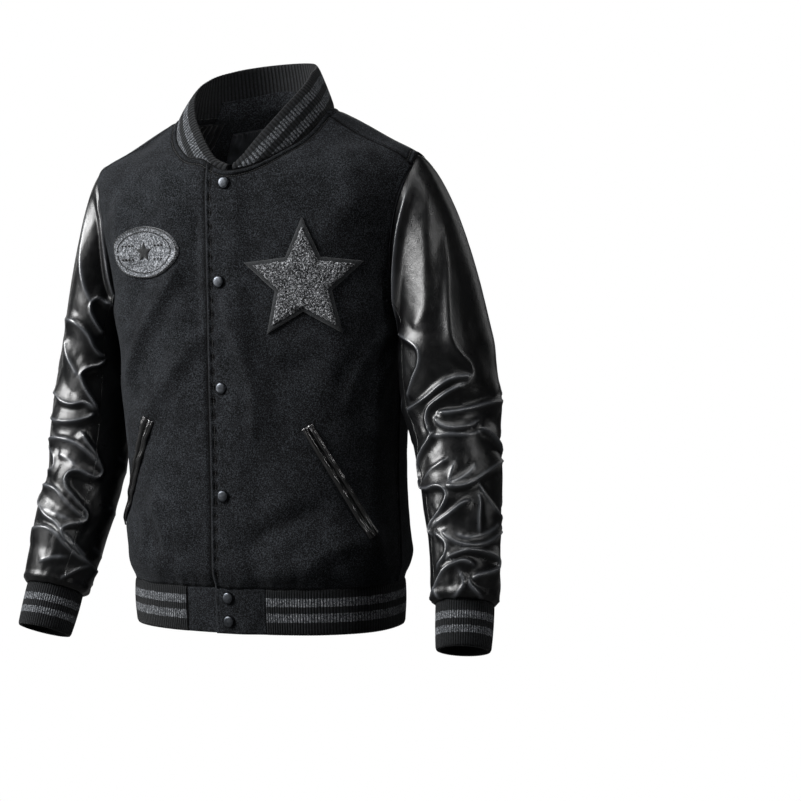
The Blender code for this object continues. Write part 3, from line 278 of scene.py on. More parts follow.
# Folds on the hidden sides: from one place over a middle one to another
LEFT_HIDDEN = (
    # rise, gentle_width, steep_width, turn_1, height_1, turn_2, height_2, turn_3, height_3
    (5.2, 12, 3.6, -12, -366, -48, -372, -92, -386),
    (4.4, 13, 5, -24, -330, -60, -342, -104, -330),
    (5.4, 11, 3.4, -16, -402, -62, -414, -108, -402),
    (5.6, 12, 3.6, -108, -466, -60, -447, -20, -440),
    (5, 11, 3.4, -6, -480, -52, -492, -102, -484),
    (5.4, 12, 3.6, -112, -534, -60, -520, -2, -522),
    (4.8, 10, 3.4, -16, -548, -62, -560, -104, -554),
    (3.6, 9, 4, -24, -588, -60, -582, -98, -590),
    (4.6, 12, 4, -96, -386, -112, -402, -96, -420),
    (4, 14, 6, -98, -296, -122, -330, -146, -354),
    (5, 11, 3.6, -176, -424, -140, -434, -102, -420),
    (5, 11, 3.6, -104, -466, -148, -478, -192, -466),
    (4.8, 11, 3.6, -192, -514, -150, -520, -106, -510),
    (4.2, 10, 3.6, -108, -556, -152, -563, -196, -554),
    (4, 12, 6, 146, -300, 180, -320, 218, -330),
    (4.8, 11, 3.6, 144, -358, 184, -376, 226, -362),
    (4.4, 11, 3.6, 230, -398, 190, -410, 152, -400),
)
RIGHT_HIDDEN = (
    # rise, gentle_width, steep_width, turn_1, height_1, turn_2, height_2, turn_3, height_3
    (4.6, 11, 4, 30, -330, -10, -340, -48, -328),
    (5.4, 12, 3.6, -46, -374, -4, -382, 36, -366),
    (5, 11, 3.6, 34, -398, 2, -403, -38, -414),
    (5.4, 11, 3.6, -62, -450, -18, -441, 20, -446),
    (5, 12, 3.6, 16, -506, -18, -513, -60, -500),
    (4.8, 10, 3.6, -56, -567, -16, -557, 18, -560),
    (5, 12, 3.8, -36, -352, -74, -362, -114, -350),
    (5.2, 11, 3.6, -118, -416, -76, -427, -34, -418),
    (5, 11, 3.6, -48, -470, -86, -479, -126, -468),
    (5, 11, 3.6, -128, -522, -84, -531, -46, -524),
    (4, 10, 4, -44, -584, -80, -589, -120, -580),
    (4.6, 11, 3.6, -108, -396, -150, -389, -190, -402),
    (4.8, 11, 3.6, -190, -446, -150, -457, -110, -448),
    (4.6, 11, 3.6, -114, -500, -154, -507, -194, -498),
    (4.2, 10, 3.6, -190, -556, -150, -563, -112, -556),
    (4.4, 12, 5, 146, -340, 184, -354, 224, -342),
)

# Soft folds of the wool, as ridges from one place over a middle one to another
BODY_CREASES = (
    # angle_1, height_1, angle_2, height_2, angle_3, height_3, left, right, rise
    (72, -105, 60, -150, 50, -190, 22, 18, 3),
    (78, -235, 64, -262, 50, -275, 18, 24, 3.4),
    (76, -250, 62, -305, 44, -350, 20, 28, 4),
    (-74, -120, -62, -168, -50, -205, 20, 24, 3),
    (-78, -235, -66, -270, -54, -300, 24, 18, 3.6),
    (-72, -300, -66, -380, -54, -440, 26, 20, 3.4),
    (12, -200, 16, -330, 10, -430, 20, 26, 2.2),
    (-26, -230, -30, -330, -24, -420, 24, 20, 2.6),
    (10, -535, 28, -512, 46, -488, 16, 26, 3.2),
    (52, -560, 66, -540, 80, -528, 14, 22, 3.6),
    (-14, -548, -36, -515, -50, -470, 26, 16, 3.4),
    (-48, -572, -62, -540, -74, -500, 20, 14, 3.6),
    (-34, -580, -48, -566, -66, -560, 14, 12, 3),
    (18, -585, 36, -572, 60, -580, 12, 12, 2.4),
    (96, -290, 112, -350, 120, -430, 26, 20, 4),
    (-96, -300, -114, -360, -120, -440, 20, 26, 4),
    (100, -575, 120, -560, 142, -572, 12, 18, 3.4),
    (-102, -572, -124, -556, -146, -570, 18, 12, 3.4),
    (152, -560, 172, -545, 194, -562, 14, 18, 3),
    (128, -230, 138, -330, 132, -450, 30, 24, 3.4),
    (-128, -220, -140, -320, -134, -440, 24, 30, 3.4),
    (104, -150, 118, -175, 134, -215, 20, 18, 3),
    (-104, -150, -118, -180, -136, -225, 18, 20, 3),
)
# Folds of the wool that the camera sees, given as the sleeves' are
FRONT_FOLDS = (
    # rise, gentle_width, steep_width, fade_in, then each point's pixel across and down
    (7.5, 16, 11, 10, 131, 392, 136, 362, 146, 332, 160, 304, 174, 280, 184, 252),
    (4.5, 14, 14, 10, 138, 436, 154, 404, 174, 374, 192, 346, 200, 322),
    (-5, 14, 8, 10, 199, 352, 197, 305, 195, 255, 197, 205),
    (6, 16, 10, 10, 226, 286, 232, 316, 242, 346, 253, 378, 256, 415, 252, 450),
    (-6.5, 14, 14, 10, 274, 358, 294, 366, 318, 372, 334, 374),
    (5, 12, 8, 10, 394, 318, 380, 338, 364, 360, 352, 388, 346, 415),
    (5.5, 12, 9, 10, 398, 345, 386, 366, 376, 392, 372, 425, 374, 455),
    (-5.5, 14, 12, 10, 240, 556, 260, 537, 284, 523, 316, 513, 340, 512),
    (4, 16, 12, 10, 300, 575, 330, 552, 366, 545, 392, 552),
    (3.2, 6, 6, 10, 134, 492, 144, 516, 148, 545, 146, 570),
    (3.2, 6, 6, 10, 148, 486, 160, 512, 168, 542, 168, 566),
    (3, 7, 6, 10, 162, 484, 178, 508, 190, 536),
    (-5, 18, 12, 10, 398, 190, 390, 245, 386, 300, 390, 335),
    (4, 22, 22, 10, 350, 140, 348, 180, 354, 230),
    (4.5, 20, 20, 10, 150, 150, 166, 190, 172, 235),
    (3.6, 16, 16, 10, 120, 190, 126, 250, 138, 300),
)
FOLD_RADIUS = 0.16
SLEEVE_RADIUS = 0.052

# Trims

SNAPS = (
    # across, height
    (0.0110, -0.1015),
    (0.0025, -0.221),
    (0.0025, -0.351),
    (0.0020, -0.483),
    (0.0025, -0.609),
    (0.0025, -0.638),
)
WELT_TOP = (0.110, -0.3980)
WELT_BOTTOM = (0.188, -0.5330)
RIGHT_WELT_LIFT = 0.008
WELT_WIDTH = 0.0155
STAR_CENTRE = (0.109, -0.2225)
STAR_RADIUS = 0.066
STAR_NOTCH = 0.47
STAR_BORDER = 5.0 * MM
STAR_LIFT = 1.2 * MM
BADGE_CENTRE = (0.1108, -0.1825)
BADGE_HALF = (0.054, 0.032)

# The bands' stripes: where each begins and ends, measured from the band's free edge
COLLAR_STRIPES = ((0.010, 0.020), (0.028, 0.038))
HEM_STRIPES = ((0.0165, 0.0275), (0.0358, 0.0462))
CUFF_STRIPES = ((0.0160, 0.0245), (0.0325, 0.0415))


# Curves and surfaces


def curve_through(rows, repeats=False):
    """A smooth function of a table's first column through its other columns."""
    table = np.array(sorted(rows), float)
    at = table[:, 0]
    values = table[:, 1:]
    if repeats:
        step = at[-1] - at[0]
        at = np.concatenate([at[-3:-1] - step, at, at[1:3] + step])
        values = np.concatenate([values[-3:-1], values, values[1:3]])
    slopes = np.gradient(values, at, axis=0)

    def value(x):
        x = np.asarray(x, float)
        i = np.clip(np.searchsorted(at, x, side="right") - 1, 0, len(at) - 2)
        step = at[i + 1] - at[i]
        u = ((x - at[i]) / step)[..., None]
        step = step[..., None]
        return (
            values[i] * (1 + 2 * u) * (1 - u) ** 2
            + values[i + 1] * u * u * (3 - 2 * u)
            + slopes[i] * step * u * (1 - u) ** 2
            - slopes[i + 1] * step * u * u * (1 - u)
        )

    return value


BODY_AT = curve_through(BODY_SECTIONS)
NECK_AT = curve_through(NECK_SEAM, repeats=True)
ARMHOLE_AT = curve_through(ARMHOLE, repeats=True)
SLEEVE_START_AT = curve_through(SLEEVE_START, repeats=True)
COLLAR_EDGE_AT = curve_through(COLLAR_EDGE)


def unit(v):
    return v / np.maximum(np.linalg.norm(v, axis=-1, keepdims=True), 1e-12)


def smooth(x):
    x = np.clip(x, 0, 1)
    return x * x * (3 - 2 * x)


def bell(x, width):
    """A hump of 1 at 0 that has faded away two widths from it."""
    return np.exp(-((x / width) ** 2))


def arc_along(points, least=0.0):
    """How far along a line each of its points lies."""
    steps = np.linalg.norm(np.diff(points, axis=0), axis=1)
    return np.concatenate([[0], np.cumsum(np.maximum(steps, least))])


def softened(share, power):
    """A power of a share whose corner at zero is rounded off."""
    square = CORNER_SOFTNESS**2
    least = square ** (power / 2)
    return ((share * share + square) ** (power / 2) - least) / ((1 + square) ** (power / 2) - least)


def body_point(angle, height):
    """The body's outer face at an angle, in degrees, and a height."""
    angle, height = np.broadcast_arrays(np.asarray(angle, float), np.asarray(height, float))
    sine = np.sin(np.radians(angle))
    drop = np.where(sine > 0, LEFT_SHOULDER_DROP, RIGHT_SHOULDER_DROP) * sine**2
    higher = height + drop * smooth((height + 0.095) / 0.06)
    columns = np.moveaxis(BODY_AT(higher), -1, 0)
    half_width, middle, front, back, front_squareness, back_squareness = columns
    cosine = np.cos(np.radians(angle))
    depth = np.where(cosine > 0, front, back)
    squareness = np.where(cosine > 0, front_squareness, back_squareness)
    side = softened(sine, squareness) / half_width**squareness
    ahead = softened(cosine, squareness) / depth**squareness
    radius = (side + ahead) ** (-1 / squareness)
    return np.stack([radius * sine, middle - radius * cosine, height], axis=-1)


def body_normal(angle, height):
    round_it = body_point(angle + 0.5, height) - body_point(angle - 0.5, height)
    up_it = body_point(angle, height + 0.002) - body_point(angle, height - 0.002)
    return unit(np.cross(round_it, up_it))


CREASE_SOFTNESS = 0.010
CREASE_FADE = 0.32


def creased(rows, turn, height):
    """How far a table of creases lifts the wool at turns, in degrees, and heights."""
    shape = np.broadcast(turn, height).shape
    turn = np.broadcast_to(turn, shape).ravel()
    height = np.broadcast_to(height, shape).ravel()
    total = np.zeros(len(turn))
    shares = np.linspace(0, 1, 10)
    s = shares[:, None]
    for row in rows:
        turn_1, height_1, turn_2, height_2, turn_3, height_3 = np.multiply(row[:6], (1, MM) * 3)
        left, right, rise = (size * MM for size in row[6:])
        x = np.radians((turn - turn_2 + 180) % 360 - 180) * FOLD_RADIUS
        y = height - height_2
        first = np.array([math.radians(turn_1 - turn_2) * FOLD_RADIUS, height_1 - height_2])
        last = np.array([math.radians(turn_3 - turn_2) * FOLD_RADIUS, height_3 - height_2])
        pull = -(first + last) / 2
        line = first * (1 - s) ** 2 + 2 * pull * s * (1 - s) + last * s * s
        reach = 4 * max(left, right)
        low, high = line.min(0) - reach, line.max(0) + reach
        near = np.flatnonzero((x > low[0]) & (x < high[0]) & (y > low[1]) & (y < high[1]))
        if not len(near):
            continue
        p = np.stack([x[near], y[near]], axis=1)
        best = np.full(len(near), np.inf)
        place, side = np.zeros((2, len(near)))
        for k, (a, b) in enumerate(zip(line, line[1:])):
            way = b - a
            t = np.clip(((p - a) @ way) / float(way @ way), 0, 1)
            away = p - a - t[:, None] * way
            gap = (away**2).sum(1)
            closer = gap < best
            best[closer] = gap[closer]
            place[closer] = shares[k] + t[closer] * (shares[k + 1] - shares[k])
            side[closer] = (way[0] * away[:, 1] - way[1] * away[:, 0])[closer]
        width = np.where(side > 0, left, right)
        fade = smooth(place / CREASE_FADE) * smooth((1 - place) / CREASE_FADE)
        soft = np.sqrt(best + CREASE_SOFTNESS**2) - CREASE_SOFTNESS
        lift = rise * fade * np.exp(-soft / width)
        total[near] = (total[near] ** 2.0 + lift**2.0) ** (1 / 2.0)
    return total.reshape(shape)


def in_frame(points):
    """Where points are in the camera's frame, in pixels."""
    a, q = math.radians(CAMERA_AZIMUTH), math.radians(CAMERA_ROLL)
    aside = points[..., 0] * math.cos(a) + points[..., 1] * math.sin(a)
    away = CAMERA_DISTANCE - points[..., 0] * math.sin(a) + points[..., 1] * math.cos(a)
    x = FOCAL_PIXELS * aside / away
    y = -FOCAL_PIXELS * (points[..., 2] - CAMERA_HEIGHT) / away
    across = AXIS_PIXEL[0] + x * math.cos(q) + y * math.sin(q)
    return across, AXIS_PIXEL[1] - x * math.sin(q) + y * math.cos(q)


def facing(points, normals):
    """How squarely surfaces face the camera, from -1 to 1."""
    turn = math.radians(CAMERA_AZIMUTH)
    eye = np.array([math.sin(turn), -math.cos(turn), 0]) * CAMERA_DISTANCE + (0, 0, CAMERA_HEIGHT)
    return np.sum(normals * unit(eye - points), axis=-1)


def traced(pixels, net, normals):
    """Points of a net, and its directions there, at pixels of the camera's frame."""
    across, down = in_frame(net)
    hidden = facing(net, normals) < 0.02
    found = []
    for x, y in pixels:
        gap = (across - x) ** 2 + (down - y) ** 2 + hidden * 1e6
        place = np.unravel_index(np.argmin(gap), gap.shape)
        found.append(np.concatenate([net[place], normals[place]]))
    return np.array(found)


# How a fold fades: its reach in widths, the distance between its crest's points, and the lengths
# over which it starts and ends where its row gives none
FOLD_REACH = 2.7
CREST_SPACING = 0.0012
CREST_START = 0.010
CREST_END = 0.012
# How often a crest is smoothed, by the length that it fades over
PATH_PASSES = ((0.02, 12), (0.13, 200), (math.inf, 60))
# A fold with a side narrower than this is pinched: a fine ridge runs along it that wears shiny
# and is painted pale, partly as wear and partly as a painted highlight
PINCHED_BELOW = 0.0065
RIDGE_SHARE = 0.22
RIDGE_WIDTH = 0.0015
WEAR_AND_HIGHLIGHT_WIDTH = 0.0021
HOLLOW_SHARE = 0.75


def crest(points, passes=12):
    """A smooth curve through rows of points and directions, evenly spaced."""
    arc = arc_along(points[:, :3], 1e-5)
    rows = [(a, *p) for a, p in zip(arc, points)]
    count = max(int(arc[-1] / CREST_SPACING), 4)
    path = curve_through(rows)(np.linspace(0, arc[-1], count))
    for _ in range(passes):
        path[1:-1] = (path[:-2] + 2 * path[1:-1] + path[2:]) / 4
    return path


def folded(folds, net, softness, ends=None):
    """How far crests lift a net of points, less the hollows beside them, and how near they are."""
    shape = net.shape[:-1]
    net = net.reshape(-1, 3)
    raised, sunk, dip, wear_and_highlight = np.zeros((4, len(net)))
    for rise, gentle, steep, fade_in, line in folds:
        path = line[:, :3]
        reach = FOLD_REACH * max(gentle, steep)
        near = np.flatnonzero(((net > path.min(0) - reach) & (net < path.max(0) + reach)).all(1))
        if not len(near):
            continue
        at = net[near]
        best, index = np.full(len(near), np.inf), np.zeros(len(near), int)
        for k, point in enumerate(path):
            gap = ((at - point) ** 2).sum(1)
            closer = gap < best
            best[closer], index[closer] = gap[closer], k

        # The distance square to the crest, or the whole distance where the crest bends away
        way = unit(np.gradient(path, axis=0))
        right = unit(np.cross(way, line[:, 3:]))
        away = at - path[index]
        along = np.sum(away * way[index], axis=1, keepdims=True) * way[index]
        distance, direct = np.linalg.norm(away - along, axis=1), np.linalg.norm(away, axis=1)
        distance = distance + (direct - distance) * smooth((direct - 0.003) / 0.004)
        at_an_end = (index == 0) | (index == len(path) - 1)
        beyond = np.linalg.norm(along, axis=1) * at_an_end

        # The crest fades in and out along its length, sideways, and past its ends
        size, run = len(path) * CREST_SPACING, index * CREST_SPACING
        start = ends or max(fade_in, CREST_START)
        end = ends or max(-fade_in, CREST_END)
        longest_end = size * (0.3 if fade_in > 0 and not ends else 0.7)
        fade = smooth((run + 0.002) / min(start, size * 0.6))
        fade = fade * smooth((size - run + 0.001) / min(end, longest_end))
        fade = fade * (1 - smooth((distance / reach - 0.35) / 0.5))
        fade = fade * bell(np.maximum(beyond - 0.0012, 0), 0.020 if ends else 0.006)

        # Its section: a round top, a gentle slope to the left and a steep one to the right
        round_top = max(softness, 0.38 * min(gentle, steep))
        soft = np.sqrt(distance**2 + round_top**2) - round_top
        side = np.sum(away * right[index], axis=1)
        share = smooth(side / (1.25 * round_top) * 0.5 + 0.5)
        width = gentle * (1 - share) + steep * share
        if rise < 0:
            dip[near] = np.maximum(dip[near], -rise * np.exp(-soft / width) * fade)
            continue
        lift = rise * np.exp(-soft / width)
        # A pinched fold's fine ridge, and its band of wear and painted highlight
        if not ends and min(gentle, steep) < PINCHED_BELOW:
            lift = lift + RIDGE_SHARE * rise * bell(distance, RIDGE_WIDTH)
            wear_and_highlight[near] = np.maximum(wear_and_highlight[near], bell(distance, WEAR_AND_HIGHLIGHT_WIDTH) * fade)
        hollow = HOLLOW_SHARE * rise * (1 - np.exp(-soft / steep)) * np.exp(-soft / (2.2 * steep))
        raised[near] = (raised[near] ** 3 + (lift * fade) ** 3) ** (1 / 3)
        sunk[near] = (sunk[near] ** 3 + (hollow * share * fade) ** 3) ** (1 / 3)
    lift = raised - dip - sunk * (1 - 0.5 * np.minimum(raised / 0.006, 1))
    return lift.reshape(shape), wear_and_highlight.reshape(shape)


def followed(folds, net, normals):
    """A table's folds in metres, with their crests found on a net."""
    found = []
    for row in folds:
        sizes = [size * MM for size in row[:4]]
        passes = next(count for below, count in PATH_PASSES if abs(sizes[3]) < below)
        line = traced(np.reshape(row[4:], (-1, 2)), net, normals)
        found.append((*sizes, crest(line, passes)))
    return found


def body_folds():
    """The wool's visible folds, followed on the body."""
    angles, heights = np.linspace(-112, 112, 449), np.linspace(HEM_TOP, -0.02, 361)
    net = body_point(angles[None, :], heights[:, None])
    normals = body_normal(angles[None, :], heights[:, None])
    return followed(FRONT_FOLDS, net, normals)


def body_lift(angle, height):
    """How far the folds lift the wool at angles and heights."""
    lift = 1.5 * creased(BODY_CREASES, angle, height)
    angle, height = np.broadcast_arrays(angle, height)
    return lift + folded(TRACED_FOLDS, body_point(angle, height), 0.0045, 0.035)[0]


def uneven(x, y, pitch, seed):
    """A smooth, uneven field of about -1 to 1, whose humps are about a pitch wide."""
    rng = np.random.default_rng(seed)
    total = 0
    for k in range(10):
        way = rng.uniform(0, 2 * math.pi)
        size = rng.uniform(0.7, 1.6) * 2 * math.pi / pitch / 2
        total = total + np.sin((x * math.cos(way) + y * math.sin(way)) * size + rng.uniform(0, 6.3))
    return total / 4.5


TRACED_FOLDS = body_folds()


def lap_rise(x):
    return LAP_RISE * (1 - smooth((x - LAP_REACH) / LAP_FADE))


def edge_angle(x, height):
    """The angle at which the front is at a given x."""
    angles = np.linspace(-40, 40, 161)
    return float(np.interp(x, body_point(angles, height)[:, 0], angles))


def neck_height(angle):
    """How high the body is where the neck seam crosses a body angle."""
    angle = np.asarray(angle, float)
    radius = NECK_AT((angle + 90) % 360 - 90)[..., 0]
    heights = np.linspace(-0.110, 0.028, 70)
    middle = BODY_AT(heights)[:, 1]
    points = body_point(angle[..., None], heights)
    reach = np.hypot(points[..., 0], points[..., 1] - middle)
    pairs = zip(radius.ravel(), reach.reshape(-1, len(heights)))
    return np.reshape([np.interp(-r, -row, heights) for r, row in pairs], angle.shape)


def collar_edge(angle):
    return COLLAR_EDGE_AT(np.clip(angle, COLLAR_EDGE[0][0], COLLAR_EDGE[-1][0]))


def beside(angle, height, distance):
    """Angles and heights of a line at a distance from another on the body, on its left side."""
    points = body_point(angle, height)
    normals = body_normal(angle, height)
    along = unit(np.gradient(points, axis=0))
    moved = points + np.cross(normals, along) * distance
    middle = BODY_AT(moved[:, 2])[:, 1]
    turned = np.degrees(np.arctan2(moved[:, 0], middle - moved[:, 1]))
    return turned + 360 * np.round((angle - turned) / 360), moved[:, 2]


# Seams of the body, as angles and heights

SEAM_STEPS = 160


def neck_line(start, end):
    angle = np.linspace(start, end, SEAM_STEPS)
    return angle, neck_height(angle)


def armhole_line(start, end, side):
    angle, height = ARMHOLE_AT(np.linspace(start, end, SEAM_STEPS)).T
    return angle * side, height


def yoke_line():
    start, height = ARMHOLE_AT(YOKE_TURN)
    share = np.linspace(-1, 1, SEAM_STEPS)
    return np.linspace(start, 360 - start, SEAM_STEPS), height + 0.004 * (1 - share**2)


def shoulder_line(side):
    """The seam between yoke and front, from the neck to the armhole."""
    angle, height = ARMHOLE_AT(SHOULDER_TURN)
    neck = SHOULDER_NECK_ANGLE * side
    share = np.linspace(0, 1, SEAM_STEPS)
    top = float(neck_height(neck))
    return neck + (angle * side - neck) * share, top + (height - top) * share


def side_line(side):
    height = np.linspace(HEM_TOP, ARMPIT, SEAM_STEPS)
    return np.full(SEAM_STEPS, 90.0 * side), height


def distance_to(line, points):
    """How far points are from a line that is given as angles and heights on the body."""
    path = body_point(*line)
    flat = points.reshape(-1, 3)
    best = np.full(len(flat), np.inf)
    for k in range(0, len(path), 2):
        best = np.minimum(best, ((flat - path[k]) ** 2).sum(1))
    gap = np.sqrt(best)
    spacing = np.linalg.norm(np.diff(path[::2], axis=0), axis=1).mean()
    return np.maximum(gap - spacing * 0.12, 0).reshape(points.shape[:-1])


# Meshes


def build_mesh(name, points, faces, flat_from=None, uv=None):
    mesh = bpy.data.meshes.new(name)
    mesh.from_pydata(points.tolist(), [], faces)
    mesh.polygons.foreach_set("use_smooth", [True] * len(mesh.polygons))
    if flat_from is not None:
        smoothness = np.ones(len(mesh.polygons), bool)
        smoothness[flat_from:] = False
        mesh.polygons.foreach_set("use_smooth", smoothness)
    if uv is not None:
        corners = np.empty(len(mesh.loops), np.int32)
        mesh.loops.foreach_get("vertex_index", corners)
        layer = mesh.uv_layers.new(name="UVMap")
        layer.data.foreach_set("uv", uv[corners].astype(np.float32).ravel())
    piece = bpy.data.objects.new(name, mesh)
    bpy.context.scene.collection.objects.link(piece)
    return piece


def quads(rows, columns, first=0, closed=False):
    """The faces of a grid of vertices, counted row by row."""
    index = first + np.arange(rows * columns).reshape(rows, columns)
    beyond = np.roll(index, -1, axis=1) if closed else index[:, 1:]
    here = index if closed else index[:, :-1]
    return np.stack([here[:-1], beyond[:-1], beyond[1:], here[1:]], axis=-1).reshape(-1, 4)


def zip_rows(one, other):
    """Triangles between two rows of vertices that may differ in number."""
    faces = []
    i = j = 0
    last_i, last_j = len(one) - 1, len(other) - 1
    while i < last_i or j < last_j:
        if j == last_j or (i < last_i and (i + 1) * last_j <= (j + 1) * last_i):
            faces.append((one[i], one[i + 1], other[j]))
            i += 1
        else:
            faces.append((one[i], other[j + 1], other[j]))
            j += 1
    return faces


def shell(name, outer, normals, wall, step=4, closed=False, uv=None, inner=None):
    """A thin shell: a fine outer net, an inner one with every step-th point, and its rims.

    V runs one metre on over the inner net, beyond any stripe.
    """
    rows, columns = outer.shape[:2]
    if inner is None:
        inner = outer - wall * normals
    pick_rows = np.unique(np.append(np.arange(0, rows, step), rows - 1))
    picked = np.arange(0, columns, step)
    if not closed:
        picked = np.unique(np.append(picked, columns - 1))
    far = inner[pick_rows][:, picked]
    count = rows * columns
    near_index = np.arange(count).reshape(rows, columns)
    far_index = count + np.arange(len(pick_rows) * len(picked)).reshape(len(pick_rows), -1)
    near_faces = quads(rows, columns, 0, closed)
    far_faces = quads(len(pick_rows), len(picked), count, closed)
    points = np.concatenate([outer.reshape(-1, 3), far.reshape(-1, 3)])
    sample = near_faces[len(near_faces) // 2]
    a, b, c, _ = points[sample]
    turned = float(np.dot(np.cross(b - a, c - a), normals.reshape(-1, 3)[sample[0]])) < 0
    if turned:
        near_faces = near_faces[:, ::-1]
    else:
        far_faces = far_faces[:, ::-1]

    def ring(index, row):
        line = list(index[row])
        return line + line[:1] if closed else line

    edges = [(ring(near_index, row), ring(far_index, row), row == 0) for row in (0, -1)]
    if not closed:
        edges += [(near_index[:, side], far_index[:, side], side == -1) for side in (0, -1)]
    rims = []
    for near_edge, far_edge, backwards in edges:
        way = -1 if backwards != turned else 1
        rims += [face[::way] for face in zip_rows(near_edge, far_edge)]
    faces = near_faces.tolist() + far_faces.tolist()
    flat_from = len(faces)
    faces += rims
    if uv is not None:
        plain = uv[pick_rows][:, picked].reshape(-1, 2) + (0, 1)
        uv = np.concatenate([uv.reshape(-1, 2), plain])
    return build_mesh(name, points, faces, flat_from, uv)


def net_normals(net, closed=False):
    """The directions across a net's rows and columns; their sign is the caller's."""
    down = np.gradient(net, axis=0)
    if closed:
        round_it = (np.roll(net, -1, axis=1) - np.roll(net, 1, axis=1)) / 2
    else:
        round_it = np.gradient(net, axis=1)
    return unit(np.cross(round_it, down))


def dress(piece, finish, node=None):
    """Gives a piece its material and its body, and hides the model's part that it stands for."""
    slot, material = FINISHES[finish]
    piece.data.materials.append(material)
    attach(piece, "root")
    if node:
        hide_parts(node)
    return piece


# Materials


def linear(code):
    """A colour written as in a paint chart, as linear red, green, blue and alpha."""
    values = [int(code[k : k + 2], 16) / 255 for k in (0, 2, 4)]
    return (*[v / 12.92 if v <= 0.04045 else ((v + 0.055) / 1.055) ** 2.4 for v in values], 1.0)


def feed(tree, made, inputs):
    """Sets a node's inputs to constants, or links them to the outputs that are given."""
    for key, value in inputs.items():
        if isinstance(value, bpy.types.NodeSocket):
            tree.links.new(value, made.inputs[key])
        else:
            made.inputs[key].default_value = value


def add_node(tree, kind, inputs=(), stops=(), **settings):
    """Adds a shader node with its settings, inputs and colour stops, and gives its outputs."""
    made = tree.nodes.new("ShaderNode" + kind)
    for key, value in settings.items():
        setattr(made, key, value)
    feed(tree, made, dict(inputs))
    if stops:
        elements = made.color_ramp.elements
        while len(elements) < len(stops):
            elements.new(0.5)
        for element, (position, code) in zip(elements, stops):
            element.position = position
            element.color = linear(code)
    return made.outputs


def spaced(size):
    """The scale of a pattern whose marks are a size in millimetres apart."""
    return 1 / (size * MM)


def start_material(name, **constants):
    """A material, and what adds its nodes, what feeds its shader, and each point's place."""
    material = bpy.data.materials.new(name)
    material.use_nodes = True
    add = partial(add_node, material.node_tree)
    finish = partial(feed, material.node_tree, material.node_tree.nodes["Principled BSDF"])
    finish({key.replace("_", " "): value for key, value in constants.items()})
    return material, add, finish, add("TexCoord")["Object"]


def map_across(add):
    """The first coordinate of a piece's own map, and the second."""
    split = add("SeparateXYZ", {"Vector": add("UVMap", uv_map="UVMap")["UV"]})
    return split["X"], split["Y"]


def wool_melton(name, dark, mid, light):
    """Wool cloth, woven, then fulled and shorn until no weave is left to see.

    It is matt and deep, a faint heather of fibres lightens it, and painted shade blackens its
    seams.
    """
    material, add, finish, place = start_material(
        name,
        Roughness=0.95,
        Sheen_Weight=0.10,
        Sheen_Roughness=0.40,
        Sheen_Tint=linear("a9adb3"),
        Specular_IOR_Level=0.10,
    )
    # A fibre is 0.02 mm thick: the clumps and their relief are drawn some 50 times as coarse
    clumps = {"Vector": place, "Scale": spaced(1.282), "Roughness": 0.7, "Distortion": 0.5}
    nap = {"Vector": place, "Scale": spaced(1.1111), "Roughness": 0.6}
    # The cloth's thickness wanders over about an inch
    thicker = {"Vector": place, "Scale": spaced(23.81), "Detail": 3.0, "Roughness": 0.55}
    fibres = add("TexNoise", clumps)["Fac"]
    clouds = add("TexNoise", thicker)["Fac"]
    part = add("Math", {0: fibres, 1: 0.86}, operation="MULTIPLY")["Value"]
    heather = {0: clouds, 1: 0.14, 2: part}
    blend = add("Math", heather, operation="MULTIPLY_ADD")["Value"]
    stops = ((0.39, dark), (0.50, mid), (0.61, light))
    tint = add("ValToRGB", {"Fac": blend}, stops)["Color"]
    # Painted shade: by its map's first coordinate the wool turns black at seams, stitching and
    # edges
    stops = ((0.3, "000000"), (0.7, "020202"))
    black = add("ValToRGB", {"Fac": clouds}, stops)["Color"]
    painted_shade, _ = map_across(add)
    seam = add("Math", {0: painted_shade, 1: 0.92}, operation="MULTIPLY")["Value"]
    tint = add("Mix", {"Factor": seam, "A": tint, "B": black}, data_type="RGBA")
    relief = {"Height": add("TexNoise", nap)["Fac"], "Strength": 0.55, "Distance": MM}
    relief = {"Normal": add("Bump", relief)["Normal"], "Height": clouds}
    relief = add("Bump", {**relief, "Strength": 0.25, "Distance": 1.2 * MM})["Normal"]
    finish({"Base Color": tint["Result"], "Normal": relief})
    return material


